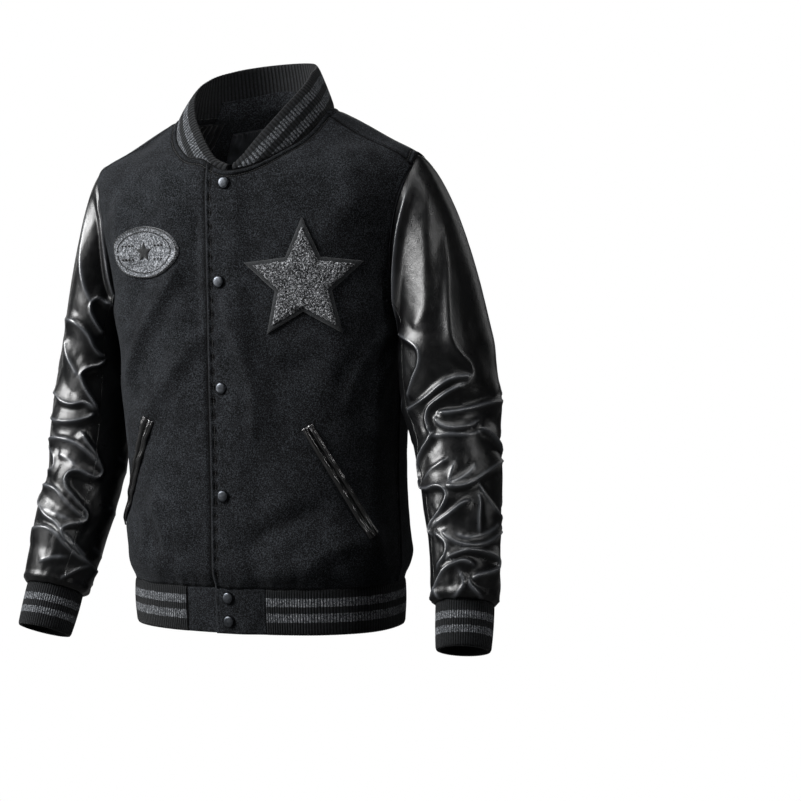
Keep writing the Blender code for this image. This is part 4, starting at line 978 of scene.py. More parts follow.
def polished_hide(name, smoothest, roughest, specular, coat, grain):
    """Cowhide, drummed soft and glazed: a fine pebble grain under a gloss that shows wear.

    Its broad highlights break up over the grain, and its folds' crests are waxed shiny and painted
    pale: partly wear, partly a painted highlight.
    """
    material, add, finish, place = start_material(
        name, Specular_IOR_Level=specular, Coat_Roughness=0.26, Coat_Weight=coat
    )
    # Dye and gloss vary by the hand's breadth and the finger's, and puckers by the fingertip's
    dye = {"Vector": place, "Scale": spaced(38.46), "Detail": 4.0, "Roughness": 0.6}
    gloss = {"Vector": place, "Scale": spaced(13.333), "Detail": 5.0, "Roughness": 0.65}
    pucker = {"Vector": place, "Scale": spaced(9.091), "Detail": 3.0, "Roughness": 0.55}
    # The hide's pores are 0.3 mm apart and its pebbles 0.5 mm: both are drawn twice as coarse
    pebble = {"Vector": place, "Scale": spaced(1.0526), "Randomness": 0.95}
    pore = {"Vector": place, "Scale": spaced(0.6667), "Roughness": 0.6}
    clouds = add("TexNoise", dye)["Fac"]
    stops = ((0.35, "060607"), (0.65, "0e0f10"))
    dyed = add("ValToRGB", {"Fac": clouds}, stops)["Color"]
    # Painted highlight, partly wear: the folds' crests get a paler tint, by the map's first
    # coordinate
    stops = ((0.35, "4a4c50"), (0.65, "606368"))
    wear_highlight_tint = add("ValToRGB", {"Fac": clouds}, stops)["Color"]
    crest_line, _ = map_across(add)
    wear_and_highlight = add("Math", {0: crest_line, 1: 0.65}, operation="MULTIPLY")["Value"]
    tint = add("Mix", {"Factor": wear_and_highlight, "A": dyed, "B": wear_highlight_tint}, data_type="RGBA")
    if not coat:
        waxed = add("Math", {0: crest_line, 1: 0.9}, operation="MULTIPLY")
        finish({"Coat Weight": waxed["Value"]})
    polish = {"Value": add("TexNoise", gloss)["Fac"], "From Min": 0.3, "From Max": 0.7}
    polish = add("MapRange", {**polish, "To Min": smoothest, "To Max": roughest})
    pores = {"Height": add("TexNoise", pore)["Fac"], "Distance": 0.4 * MM}
    pores = add("Bump", {**pores, "Strength": 0.22 * grain})["Normal"]
    pebbles = add("TexVoronoi", pebble, feature="SMOOTH_F1")["Distance"]
    pebbles = {"Height": pebbles, "Distance": 0.5 * MM, "Normal": pores}
    pebbles = add("Bump", {**pebbles, "Strength": 0.22 * grain})["Normal"]
    puckers = add("TexNoise", {**pucker, "Distortion": 0.4})["Fac"]
    puckers = {"Height": puckers, "Distance": 1.6 * MM, "Normal": pebbles}
    puckers = add("Bump", {**puckers, "Strength": 0.16 * grain})["Normal"]
    skin = {"Base Color": tint["Result"], "Roughness": polish["Result"], "Normal": puckers}
    finish(skin)
    return material


STITCH_ROW = 1.5 * MM
JAG = 0.9 * MM


def rib_knit(name, stripes, greys):
    """Wool rib, knitted on a flat machine, in black with heather stripes.

    Its grooves are painted dark as shade, each rib's stripes end a little unevenly, and stitches
    show as slanting rows. U counts the ribs and V is the distance from the free edge.
    """
    material, add, finish, place = start_material(
        name, Roughness=0.92, Sheen_Weight=0.10, Sheen_Roughness=0.5, Specular_IOR_Level=0.10
    )
    rib, across = map_across(add)
    whole = add("Math", {0: rib}, operation="FLOOR")["Value"]
    own = add("TexWhiteNoise", {"W": whole}, noise_dimensions="1D")["Value"]
    jag = {0: own, 1: JAG, 2: across}
    jag = add("Math", jag, operation="MULTIPLY_ADD")["Value"]
    striped = 0.0
    for start, end in stripes:
        inside = {0: jag, 1: (start + end) / 2 + JAG / 2, 2: (end - start) / 2}
        inside = add("Math", inside, operation="COMPARE")["Value"]
        striped = add("Math", {0: striped, 1: inside}, operation="MAXIMUM")["Value"]
    # Yarn of 0.5 mm, with its flecks drawn 0.9 mm apart so that they show, and longer up the ribs
    stretched = {0: place, 1: (1, 1, 0.4)}
    stretched = add("VectorMath", stretched, operation="MULTIPLY")["Vector"]
    flecks = {"Vector": stretched, "Scale": spaced(0.8696), "Roughness": 0.8, "Distortion": 0.5}
    flecks = add("TexNoise", flecks)["Fac"]
    stops = ((0.35, "0d0e0e"), (0.62, "242629"))
    dark = add("ValToRGB", {"Fac": flecks}, stops)["Color"]
    stops = tuple(zip((0.38, 0.50, 0.62), greys))
    grey = add("ValToRGB", {"Fac": flecks}, stops)["Color"]
    tint = add("Mix", {"Factor": striped, "A": dark, "B": grey}, data_type="RGBA")
    phase = add("Math", {0: rib}, operation="FRACT")["Value"]
    half_turn = add("Math", {0: phase, 1: math.pi}, operation="MULTIPLY")["Value"]
    crest_line = add("Math", {0: half_turn}, operation="SINE")["Value"]
    # Painted shade: each rib's colour darkens from its crest into its grooves
    shade = {"Value": crest_line, "From Min": 0.25, "From Max": 0.95, "To Min": 0.16}
    shade = add("MapRange", shade)["Result"]
    grooved = add("CombineXYZ", {"X": shade, "Y": shade, "Z": shade})["Vector"]
    grooved = {"Factor": 1.0, "A": tint["Result"], "B": grooved}
    tint = add("Mix", grooved, data_type="RGBA", blend_type="MULTIPLY")
    rows = {0: across, 1: 2 * math.pi / STITCH_ROW}
    rows = add("Math", rows, operation="MULTIPLY")["Value"]
    slant = add("Math", {0: phase, 1: 0.5}, operation="SUBTRACT")["Value"]
    slant = add("Math", {0: slant}, operation="ABSOLUTE")["Value"]
    slant = {0: slant, 1: 7.0, 2: rows}
    slant = add("Math", slant, operation="MULTIPLY_ADD")["Value"]
    stitch = {"Height": add("Math", {0: slant}, operation="SINE")["Value"]}
    knitted = add("Bump", {**stitch, "Strength": 0.5, "Distance": 0.5 * MM})["Normal"]
    fuzz = {"Height": flecks, "Normal": knitted, "Strength": 0.3, "Distance": 0.6 * MM}
    relief = add("Bump", fuzz)["Normal"]
    finish({"Base Color": tint["Result"], "Normal": relief})
    return material


def yarn(name, colours, size, roughness=0.95, depth=0.5):
    """Yarn in loops, fibres or twisted thread: matt, with strong contrast from mark to mark."""
    material, add, finish, place = start_material(
        name, Roughness=roughness, Sheen_Weight=0.25, Sheen_Roughness=0.5, Specular_IOR_Level=0.2
    )
    marks = {"Vector": place, "Scale": spaced(size), "Detail": 3.0, "Roughness": 0.75}
    spots = add("TexNoise", {**marks, "Distortion": 0.8})["Fac"]
    patches = add("TexNoise", {"Vector": place, "Scale": spaced(9 * size)})["Fac"]
    part = add("Math", {0: spots, 1: 0.88}, operation="MULTIPLY")["Value"]
    blend = {0: patches, 1: 0.12, 2: part}
    blend = add("Math", blend, operation="MULTIPLY_ADD")["Value"]
    stops = tuple(zip((0.40, 0.50, 0.61), colours))
    tint = add("ValToRGB", {"Fac": blend}, stops)["Color"]
    relief = {"Height": spots, "Strength": depth, "Distance": 0.9 * MM}
    finish({"Base Color": tint, "Normal": add("Bump", relief)["Normal"]})
    return material


def plated_brass(name, dark, light):
    """Brass, stamped and plated: smooth, with a rub that varies by the pinhead."""
    material, add, finish, place = start_material(name, Metallic=1.0)
    tarnish = {"Vector": place, "Scale": spaced(4.167), "Detail": 4.0, "Roughness": 0.6}
    rub = {"Vector": place, "Scale": spaced(1.4286), "Detail": 3.0, "Roughness": 0.6}
    tarnish = add("TexNoise", tarnish)["Fac"]
    stops = ((0.35, dark), (0.65, light))
    tint = add("ValToRGB", {"Fac": tarnish}, stops)["Color"]
    polish = {"Value": add("TexNoise", rub)["Fac"], "From Min": 0.3, "From Max": 0.7}
    polish = add("MapRange", {**polish, "To Min": 0.30, "To Max": 0.42})["Result"]
    finish({"Base Color": tint, "Roughness": polish})
    return material


def satin_weave(name, dark, light, roughness, thread):
    """Polyester, woven with long floats: smooth, with a soft gloss along its gathers."""
    material, add, finish, place = start_material(
        name, Roughness=roughness, Specular_IOR_Level=0.55, Sheen_Weight=0.1
    )
    clouds = {"Vector": place, "Scale": spaced(16.667), "Detail": 3.0}
    clouds = add("TexNoise", clouds)["Fac"]
    stops = ((0.35, dark), (0.65, light))
    tint = add("ValToRGB", {"Fac": clouds}, stops)["Color"]
    split = add("SeparateXYZ", {"Vector": place})
    waves = []
    for way in "ZX":
        turn = {0: split[way], 1: 2 * math.pi / (thread * MM)}
        turn = add("Math", turn, operation="MULTIPLY")["Value"]
        waves.append(add("Math", {0: turn}, operation="SINE")["Value"])
    weave = add("Math", dict(enumerate(waves)), operation="MAXIMUM")["Value"]
    relief = {"Height": weave, "Strength": 0.2, "Distance": 0.2 * MM}
    finish({"Base Color": tint, "Normal": add("Bump", relief)["Normal"]})
    return material


# The collar's stripes are the bands' heather yarn made darker: painted shade against the strong
# light on it
SHADED_COLLAR_GREYS = ("16181a", "3d4044", "888b90")
BAND_GREYS = ("1e2023", "4c4f53", "a3a6ab")
# Each finish's slot and material. Real fibres, loops and twists are 0.1 to 1 mm apart; where they
# are too fine to show, the last sizes below draw them at 0.7 to 2 mm
FINISHES = {
    "wool": ("wool", wool_melton("wool_melton_fulled", "040505", "121315", "33363a")),
    "leather": ("leather", polished_hide("cowhide_glazed", 0.26, 0.38, 0.46, 0.0, 1.0)),
    # The pocket lips are turned from a smoother hide, fully waxed
    "welt leather": ("leather", polished_hide("cowhide_waxed", 0.18, 0.28, 0.9, 0.9, 0.15)),
    "collar knit": ("knit", rib_knit("wool_rib_collar", COLLAR_STRIPES, SHADED_COLLAR_GREYS)),
    "hem knit": ("knit", rib_knit("wool_rib_hem", HEM_STRIPES, BAND_GREYS)),
    "cuff knit": ("knit", rib_knit("wool_rib_cuff", CUFF_STRIPES, BAND_GREYS)),
    # Acrylic chenille, looped: light on top and black between its loops
    "chenille": ("pile", yarn("acrylic_chenille", ("050505", "2e3033", "c8cace"), 2.083)),
    # Wool felt, pressed: even and matt
    "star felt": ("felt", yarn("felt_dark", ("151617", "242628", "3a3c3f"), 1.1111)),
    "badge star": ("felt", yarn("felt_black", ("0a0b0b", "151617", "26282a"), 1.0, 0.85)),
    "badge felt": ("badge", yarn("felt_grey", ("16181a", "45484c", "a2a5aa"), 2.083, 0.9, 0.8)),
    # Rayon and cotton, twisted: darker, and a little glossier along the thread
    "badge thread": ("badge", yarn("rayon_thread", ("0c0d0d", "191a1b", "2c2e30"), 0.9091, 0.75)),
    "thread": ("wool", yarn("cotton_thread", ("060606", "0e0f0f", "18191b"), 0.6667, 0.7)),
    "leather thread": ("leather", yarn("waxed_linen", ("060606", "0c0d0d", "161718"), 0.6667, 0.7)),
    # The snap rim's brass is the cap's, darkened as painted shade round its edge
    "dark metal": ("snap_metal", plated_brass("brass_plated_painted_shade", "141517", "232528")),
    "bright metal": ("snap_metal", plated_brass("brass_nickel_plated", "3e4145", "5e6166")),
    "lining": ("lining", satin_weave("polyester_lining_woven", "0b0b0c", "18191b", 0.32, 0.9)),
    "satin": ("satin", satin_weave("polyester_satin_woven", "1c1e20", "393c40", 0.30, 1.0)),
}


# The wool panels

PANEL_ROWS = 12
PANEL_COLUMNS = 128
TOPSTITCH = 7.5 * MM
YOKE_STITCH = 5.5 * MM


def resampled(points, count):
    """A line of angles and heights, evenly spaced on the body."""
    points = np.asarray(points, float)
    arc = arc_along(body_point(points[:, 0], points[:, 1]))
    at = np.linspace(0, arc[-1], count)
    return np.stack([np.interp(at, arc, points[:, k]) for k in range(2)], axis=1)


def joined(*parts):
    """Lines of angles and heights joined end to end, each part a pair of arrays and a count."""
    lines = []
    for (angles, heights), count in parts:
        line = resampled(np.stack([angles, heights], axis=1), count + 1)
        lines.append(line if not lines else line[1:])
    return np.concatenate(lines)


def finer_ends(count, band, first=0.26, last=0.26):
    """Shares from 0 to 1, closer together within a band at either end."""
    one, other = int(count * first), int(count * last)
    parts = [np.linspace(0, band, one + 1)[:-1]] if one else []
    start, end = (band if one else 0), (1 - band if other else 1)
    parts.append(np.linspace(start, end, count - one - other + 1)[: -1 if other else None])
    if other:
        parts.append(np.linspace(1 - band, 1, other + 1))
    return np.concatenate(parts)


def ruled(near, far, columns):
    share = finer_ends(columns, 0.08)[None, :, None]
    return near[:, None] * (1 - share) + far[:, None] * share


def closer_rows(net, band, first=0.0, last=0.14):
    """A net's rows set closer together near its ends."""
    at = finer_ends(len(net) - 1, band, first, last) * (len(net) - 1)
    low = np.minimum(at.astype(int), len(net) - 2)
    share = (at - low)[:, None, None]
    return net[low] * (1 - share) + net[low + 1] * share


# The wool beside a seam: the groove's depth and width, the ridge of turned-in allowance next to
# it, and how far from the seam the folds die away
SEAM_GROOVE = (1.7 * MM, 1.3 * MM)
SEAM_RIDGE = (0.75 * MM, 3.4 * MM, 2.2 * MM)
SEAM_CALM = 0.018
# A row of topstitching pulls in a narrow groove within a wide hollow
STITCH_GROOVE = (1.5 * MM, 1.3 * MM)
STITCH_HOLLOW = (0.35 * MM, 3.6 * MM)


def cloth_relief(net, points, seams, stitched):
    """Folds, seam edges and the dents of topstitching: the lift, and the painted shade beside them.
    """
    angle, height = net[..., 0], net[..., 1]
    lift = body_lift(angle, height)
    arc = np.radians(angle) * FOLD_RADIUS
    lift = lift + 0.5 * MM * uneven(arc, height, 0.060, 7)
    lift = lift + 0.16 * MM * uneven(arc, height, 0.016, 11)
    near_hem = bell(height - HEM_TOP, 0.020)
    lift = lift + 0.9 * MM * near_hem * uneven(arc * 2.2, height, 0.030, 5)
    # Painted shade: how far the wool is darkened beside seams and topstitching
    painted_shade = np.zeros_like(lift)
    for line in seams:
        gap = distance_to(line, points)
        painted_shade = np.maximum(painted_shade, bell(gap, 1.9 * MM))
        depth, width = SEAM_GROOVE
        lift = lift * smooth(gap / SEAM_CALM) - depth * bell(gap, width)
        rise, away, width = SEAM_RIDGE
        lift = lift + rise * bell(gap - away, width)
    for line in stitched:
        gap = distance_to(line, points)
        painted_shade = np.maximum(painted_shade, 0.95 * bell(gap, 1.7 * MM))
        for depth, width in (STITCH_GROOVE, STITCH_HOLLOW):
            lift = lift - depth * bell(gap, width)
    return lift, painted_shade


def panel(name, net, seams, stitched, lapped=False):
    angle, height = net[..., 0], net[..., 1]
    points = body_point(angle, height)
    normals = body_normal(angle, height)
    lift, painted_shade = cloth_relief(net, points, seams, stitched)
    beyond = points[..., 0] + LAP_REACH
    if lapped:
        # The rolled edge of the overlap with painted shade along it, the ridge of its turned-in
        # cloth, and its rise
        edge = bell(beyond, 1.8 * MM)
        lift = lift - 1.6 * MM * edge + 1.1 * MM * bell(beyond - 3.8 * MM, 2.4 * MM)
        lift = lift + lap_rise(points[..., 0])
        painted_shade = np.maximum(painted_shade, 0.6 * edge)
    elif name == "front_right":
        # It dives under the overlap's edge, and a painted shadow of that edge darkens it
        edge = bell(beyond + 2.0 * MM, 3.2 * MM)
        lift = lift - 2.0 * MM * edge
        painted_shade = np.maximum(painted_shade, edge)
    outer = points + normals * lift[..., None]
    uv = np.stack([painted_shade, np.zeros_like(painted_shade)], axis=-1)
    piece = shell(f"{name}_cloth", outer, normals, WOOL, uv=uv)
    return dress(piece, "wool", name)


def front(name, side, flat, area):
    edge_x = -LAP_REACH * side
    edge_start = edge_angle(edge_x, NECK_FRONT)
    top = float(neck_height(edge_start))
    heights = np.linspace(HEM_TOP, top, 60)
    edge = np.array([edge_angle(edge_x, h) for h in heights]), heights
    neck = neck_line(edge_start, SHOULDER_NECK_ANGLE * side)
    armhole = armhole_line(180, SHOULDER_TURN, side)
    rows = 15 * PANEL_ROWS
    near = joined((edge, 9 * PANEL_ROWS), (neck, rows - 9 * PANEL_ROWS))
    far = joined((side_line(side), 8 * PANEL_ROWS), (armhole, rows - 8 * PANEL_ROWS))
    net = closer_rows(ruled(near, far, PANEL_COLUMNS), 0.05)
    seams = [armhole, shoulder_line(side), side_line(side), neck]
    stitched = [beside(*line, -TOPSTITCH * side) for line in (neck, armhole)]
    if side > 0:
        inner_x = edge_x + TOPSTITCH
        stitched.append((np.array([edge_angle(inner_x, h) for h in heights]), heights))
    return panel(name, net, seams, stitched, side > 0)


def back(name, flat, area):
    turns = np.linspace(180, YOKE_TURN, SEAM_STEPS)
    angle, height = ARMHOLE_AT(turns).T
    near = joined((side_line(1), 8 * PANEL_ROWS), ((angle, height), 4 * PANEL_ROWS))
    far = near * (-1, 1) + (360, 0)
    net = ruled(near, far, PANEL_COLUMNS)
    seam = np.stack(yoke_line(), axis=1)
    bow = np.interp(net[-1, :, 0], seam[:, 0], seam[:, 1]) - net[-1, 0, 1]
    rows = np.arange(len(net))[:, None]
    net[..., 1] += bow[None] * smooth((rows - 8 * PANEL_ROWS) / (4 * PANEL_ROWS))
    net = closer_rows(net, 0.05)
    seams = [yoke_line(), armhole_line(180, YOKE_TURN, 1), side_line(1)]
    right = armhole_line(180, YOKE_TURN, -1)
    seams += [(right[0] + 360, right[1]), (side_line(-1)[0] + 360, side_line(-1)[1])]
    return panel(name, net, seams, [])


def back_yoke(name):
    left = armhole_line(SHOULDER_TURN, -(360 - YOKE_TURN), 1)
    right = left[0][::-1] * -1 + 360, left[1][::-1]
    outer = joined((left, 30), (yoke_line(), 130), (right, 30))
    bend = 112.0
    inner = joined(
        (neck_line(SHOULDER_NECK_ANGLE, bend), 30),
        (neck_line(bend, 360 - bend), 130),
        (neck_line(360 - bend, 360 - SHOULDER_NECK_ANGLE), 30),
    )
    share = finer_ends(70, 0.14, 0.3, 0.3)[:, None, None]
    net = inner[None] * (1 - share) + outer[None] * share
    net = closer_rows(net.swapaxes(0, 1), 0.04, 0.1, 0.1).swapaxes(0, 1)
    start, end = SHOULDER_NECK_ANGLE, 360 - SHOULDER_NECK_ANGLE
    armholes = [left, (left[0] * -1 + 360, left[1])]
    yoke = yoke_line()
    other = shoulder_line(-1)
    seams = [neck_line(start, end), yoke, shoulder_line(1), (other[0] + 360, other[1]), *armholes]
    stitched = [
        beside(*neck_line(start, end), -TOPSTITCH),
        (yoke[0], yoke[1] + YOKE_STITCH),
        beside(*armholes[0], TOPSTITCH),
        beside(*armholes[1], -TOPSTITCH),
    ]
    return panel(name, net, seams, stitched)


# Knit bands

RIB_COLUMNS = 6


def rib_profile(count, columns):
    """How far each column stands out, from 0 in a groove to 1 on a rib's crest."""
    phase = np.arange(count) / columns % 1
    return np.sqrt(np.sin(np.pi * phase))


def banded(piece_of, net, normals, ribs, depth, finish, tube=False, swell=1.0):
    """A ribbed band between rows of points from its free edge up, or a tube's, which ends there."""
    rows, columns = net.shape[:2]
    to_a_rib = (columns if tube else columns - 1) / ribs
    profile = rib_profile(columns, to_a_rib)
    outer = net + normals * (depth * profile * np.broadcast_to(swell, rows)[:, None])[..., None]
    if not tube:
        along = np.linspace(0, 1.2, columns)[None, :]
        outer = outer + normals * (0.35 * MM * uneven(along, net[..., 2], 0.05, 3))[..., None]
    steps = np.linalg.norm(np.diff(net, axis=0), axis=2)
    run = np.concatenate([np.zeros((1, columns)), np.cumsum(steps, axis=0)])
    if tube:
        run = run[-1:] - run
    count = np.broadcast_to(np.arange(columns) / to_a_rib, run.shape)
    inner = net - normals * (KNIT - 0.6 * depth * profile[None, :, None])
    uv = np.stack([count, run], axis=-1)
    piece = shell(f"{piece_of}_knit", outer, normals, KNIT, 2, tube, uv, inner)
    return dress(piece, finish, piece_of)


def shared_neck(angles):
    height = neck_height(angles)
    points = body_point(angles, height)
    normals = body_normal(angles, height)
    rise = np.where(angles < 90, lap_rise(points[:, 0]), 0)[:, None]
    return points + normals * (rise - 0.4 * MM), normals


def collar_sides(angles):
    """The collar's seam and free edge at seam angles, and its outward directions."""
    coarse = np.linspace(COLLAR_EDGE[0][0], COLLAR_EDGE[-1][0], 400)
    seam, lean = shared_neck(coarse)
    at = [[np.interp(angles, coarse, v[:, k]) for k in range(3)] for v in (seam, lean)]
    seam, lean = np.moveaxis(np.array(at), 1, -1)
    edge = collar_edge(angles)
    return seam, edge, lean


def collar(name, ribs):
    columns = ribs * RIB_COLUMNS
    first, last = COLLAR_EDGE[0][0], COLLAR_EDGE[-1][0]
    coarse = np.linspace(first, last, 900)
    seams, edges, _ = collar_sides(coarse)
    arc = arc_along(edges)
    shares = np.linspace(0, 1, columns + 1)
    edge_at = np.interp(shares * arc[-1], arc, coarse)
    edge = collar_edge(edge_at)

    # Each rib leaves the free edge at a right angle, except near the collar's ends
    way = unit(np.gradient(edge, axis=0))
    off = np.abs(seams @ way.T - np.sum(edge * way, axis=1))
    off = off + 0.0004 * np.abs(coarse[:, None] - edge_at)
    square = np.maximum.accumulate(coarse[np.argmin(off, axis=0)])
    width = 61
    padded = np.concatenate([np.full(width // 2, first), square, np.full(width // 2, last)])
    square = np.convolve(padded, np.ones(width) / width, mode="valid")
    to_an_end = np.minimum(shares, 1 - shares)
    seam_at = edge_at + (square - edge_at) * smooth(to_an_end / 0.06) * 0.9
    seam, _, lean = collar_sides(seam_at)
    across = np.gradient((edge + seam) / 2, axis=0)
    outward = unit(np.cross(across, edge - seam))
    start = seam + COLLAR_SEAM * unit(edge - seam)
    levels = np.linspace(0, 1, 31)
    v = levels[:, None, None]
    net = start * (1 - v) + edge * v + outward * (4 * COLLAR_BULGE * v * (1 - v))
    mix = smooth(v / 0.25)
    normals = unit(lean * (1 - mix) + outward * mix)

    # Its wall thins out to its two points, and is rounded at the free edge
    thin = np.clip(to_an_end / 0.05, 0.35, 1)
    swell = 1 - 0.8 * smooth((0.06 - levels) / 0.06)
    run = np.array([[np.sqrt(((edge[::3] - p) ** 2).sum(1).min()) for p in row] for row in net])
    profile = rib_profile(columns + 1, RIB_COLUMNS)
    rounded = 1.4 * MM * (1 - np.sqrt(np.clip((1 - levels) * 8, 0, 1)))
    outer = net + normals * (1.1 * MM * profile[None] * swell[:, None])[..., None]
    outer = outer - normals * rounded[:, None, None]
    inner = net - normals * (KNIT * thin - 0.9 * MM * profile)[None, :, None]
    inner = inner + normals * (rounded[:, None] * thin[None, :])[..., None]
    uv = np.stack([np.broadcast_to(np.arange(columns + 1) / RIB_COLUMNS, run.shape), run], axis=-1)
    piece = shell(f"{name}_knit", outer, normals, KNIT, 1, uv=uv, inner=inner)
    return dress(piece, "collar knit", name)


def hem_band(name, ribs):
    columns = ribs * RIB_COLUMNS
    heights = np.linspace(HEM_BOTTOM, HEM_TOP - 0.3 * MM, 19)
    starts = [edge_angle(LEFT_TAB_REACH, h) for h in heights]
    ends = [360 + edge_angle(-RIGHT_TAB_REACH, h) for h in heights]
    angles = np.array([np.linspace(a, b, columns + 1) for a, b in zip(starts, ends)])
    net = body_point(angles, heights[:, None])
    normals = body_normal(angles, heights[:, None])
    normals[..., 2] = 0
    normals = unit(normals)
    share = np.linspace(0, 1, len(heights))
    plump = 1.2 * MM * np.sin(np.pi * share) - 0.8 * MM * smooth((share - 0.93) / 0.07)
    plump -= 1.1 * MM * smooth((0.05 - share) / 0.05)
    net = net + normals * plump[:, None, None]
    swell = 1 - 0.7 * smooth((share - 0.93) / 0.07)
    return banded(name, net, normals, ribs, 0.95 * MM, "hem knit", swell=swell)


class Arm:
    """The stations of one sleeve, and the rings that they give."""

    def __init__(self, stations, side):
        self.side = side
        self.last = min(row[0] for row in stations)
        self.at = curve_through(stations)

    def centre(self, height):
        values = self.at(height)
        return np.stack([self.side * values[..., 0], values[..., 1], np.asarray(height, float)], -1)

    def axes(self, height):
        """The way down the arm, the way outward and the way forward."""
        height = np.asarray(height, float)
        upper = np.minimum(height + 0.012, ARM_TOP)
        lower = np.maximum(height - 0.012, self.last)
        down = unit(self.centre(lower) - self.centre(upper))
        outward = np.array([self.side, 0.0, 0.0])
        outward = unit(outward - down * np.sum(outward * down, axis=-1, keepdims=True))
        forward = np.array([0.0, -1.0, 0.0])
        forward = forward - down * np.sum(forward * down, axis=-1, keepdims=True)
        forward = forward - outward * np.sum(forward * outward, axis=-1, keepdims=True)
        return down, outward, unit(forward)

    def rings(self, heights, turns):
        values = self.at(heights)
        _, outward, forward = self.axes(heights)
        turn = np.radians(turns)[None, :, None]
        out_r, fore_r = values[:, 2][:, None, None], values[:, 3][:, None, None]
        shape = out_r * np.cos(turn) * outward[:, None] + fore_r * np.sin(turn) * forward[:, None]
        return self.centre(heights)[:, None] + shape


SLEEVE_COLUMNS = 312
CAP_ROWS = 75
ARM_ROWS = 226
HIDDEN_POINTS = 24
# Folds on the hidden sides are drawn lower and softer than their rows say
HIDDEN_RISE = 0.65
HIDDEN_STEEP = 1.6
HIDDEN_FADE = 22 * MM
# The share of its lift that a fold keeps where the leather turns away from the camera
TURNED_SHARE = 0.28


def sleeve_net(arm):
    """Rings from the armhole's seam to the cuff, their directions, and the seam."""
    turns = np.arange(SLEEVE_COLUMNS) * 360 / SLEEVE_COLUMNS
    seam_angle, seam_height = ARMHOLE_AT(turns).T
    seam = body_point(seam_angle * arm.side, seam_height)
    seam = seam - body_normal(seam_angle * arm.side, seam_height) * 0.5 * MM
    leaving = unit(SLEEVE_START_AT(turns) * (arm.side, -1, 1))
    heights = np.linspace(ARM_TOP, arm.last + 0.0035, ARM_ROWS)
    heights = np.concatenate([heights, [arm.last + 0.0018, arm.last]])
    rings = arm.rings(heights, turns)
    arriving = unit(arm.rings(np.array([ARM_TOP - 0.02]), turns)[0] - rings[0])
    reach = np.linalg.norm(rings[0] - seam, axis=1, keepdims=True)
    fullness = LEFT_CAP_FULLNESS if arm.side > 0 else RIGHT_CAP_FULLNESS
    u = np.linspace(0, 1, CAP_ROWS + 1)[:-1, None, None]
    cap = (
        seam * (1 + 2 * u) * (1 - u) ** 2
        + rings[0] * u * u * (3 - 2 * u)
        + leaving * reach * fullness * u * (1 - u) ** 2
        - arriving * reach * CAP_DROP * u * u * (1 - u)
    )
    net = np.concatenate([cap, rings])
    normals = net_normals(net, closed=True)
    outward = net - net.mean(axis=1, keepdims=True)
    normals *= np.sign(np.sum(normals * outward, axis=-1).mean())
    return net, normals, seam, heights, turns


def hidden_crest(ends, net, normals, heights):
    """A crest from one turn and height over a middle one to another."""
    s = np.linspace(0, 1, HIDDEN_POINTS)[:, None]
    bend = 2 * ends[1] - (ends[0] + ends[2]) / 2
    path = ends[0] * (1 - s) ** 2 + 2 * bend * s * (1 - s) + ends[2] * s * s
    rows = np.array([np.argmin(np.abs(heights - h)) for h in path[:, 1]]) + CAP_ROWS
    columns = np.round(path[:, 0] % 360 / 360 * SLEEVE_COLUMNS).astype(int) % SLEEVE_COLUMNS
    return crest(np.concatenate([net[rows, columns], normals[rows, columns]], axis=1)[::4])


def sleeve_folds(folds, hidden, net, normals, heights):
    """How far a sleeve's folds lift it, and where its crests carry wear and a painted highlight."""
    found = followed(folds, net, normals)
    for rise, gentle, steep, *ends in hidden:
        path = hidden_crest(np.reshape(ends, (3, 2)) * (1, MM), net, normals, heights)
        sizes = rise * HIDDEN_RISE * MM, gentle * MM, steep * HIDDEN_STEEP * MM, HIDDEN_FADE
        found.append((*sizes, path))
    lift, wear_and_highlight = folded(found, net, 1.3 * MM)
    rested = lift
    for _ in range(3):
        padded = np.pad(rested, ((1, 1), (0, 0)), mode="edge")
        rested = (padded[:-2] + 2 * rested + padded[2:]) / 4
        rested = (np.roll(rested, 1, axis=1) + 2 * rested + np.roll(rested, -1, axis=1)) / 4
    lift = lift + (rested - lift) * (1 - smooth(4 * wear_and_highlight))
    squarely = smooth(np.abs(facing(net, normals)) / 0.42)
    return lift * (TURNED_SHARE + (1 - TURNED_SHARE) * squarely), wear_and_highlight


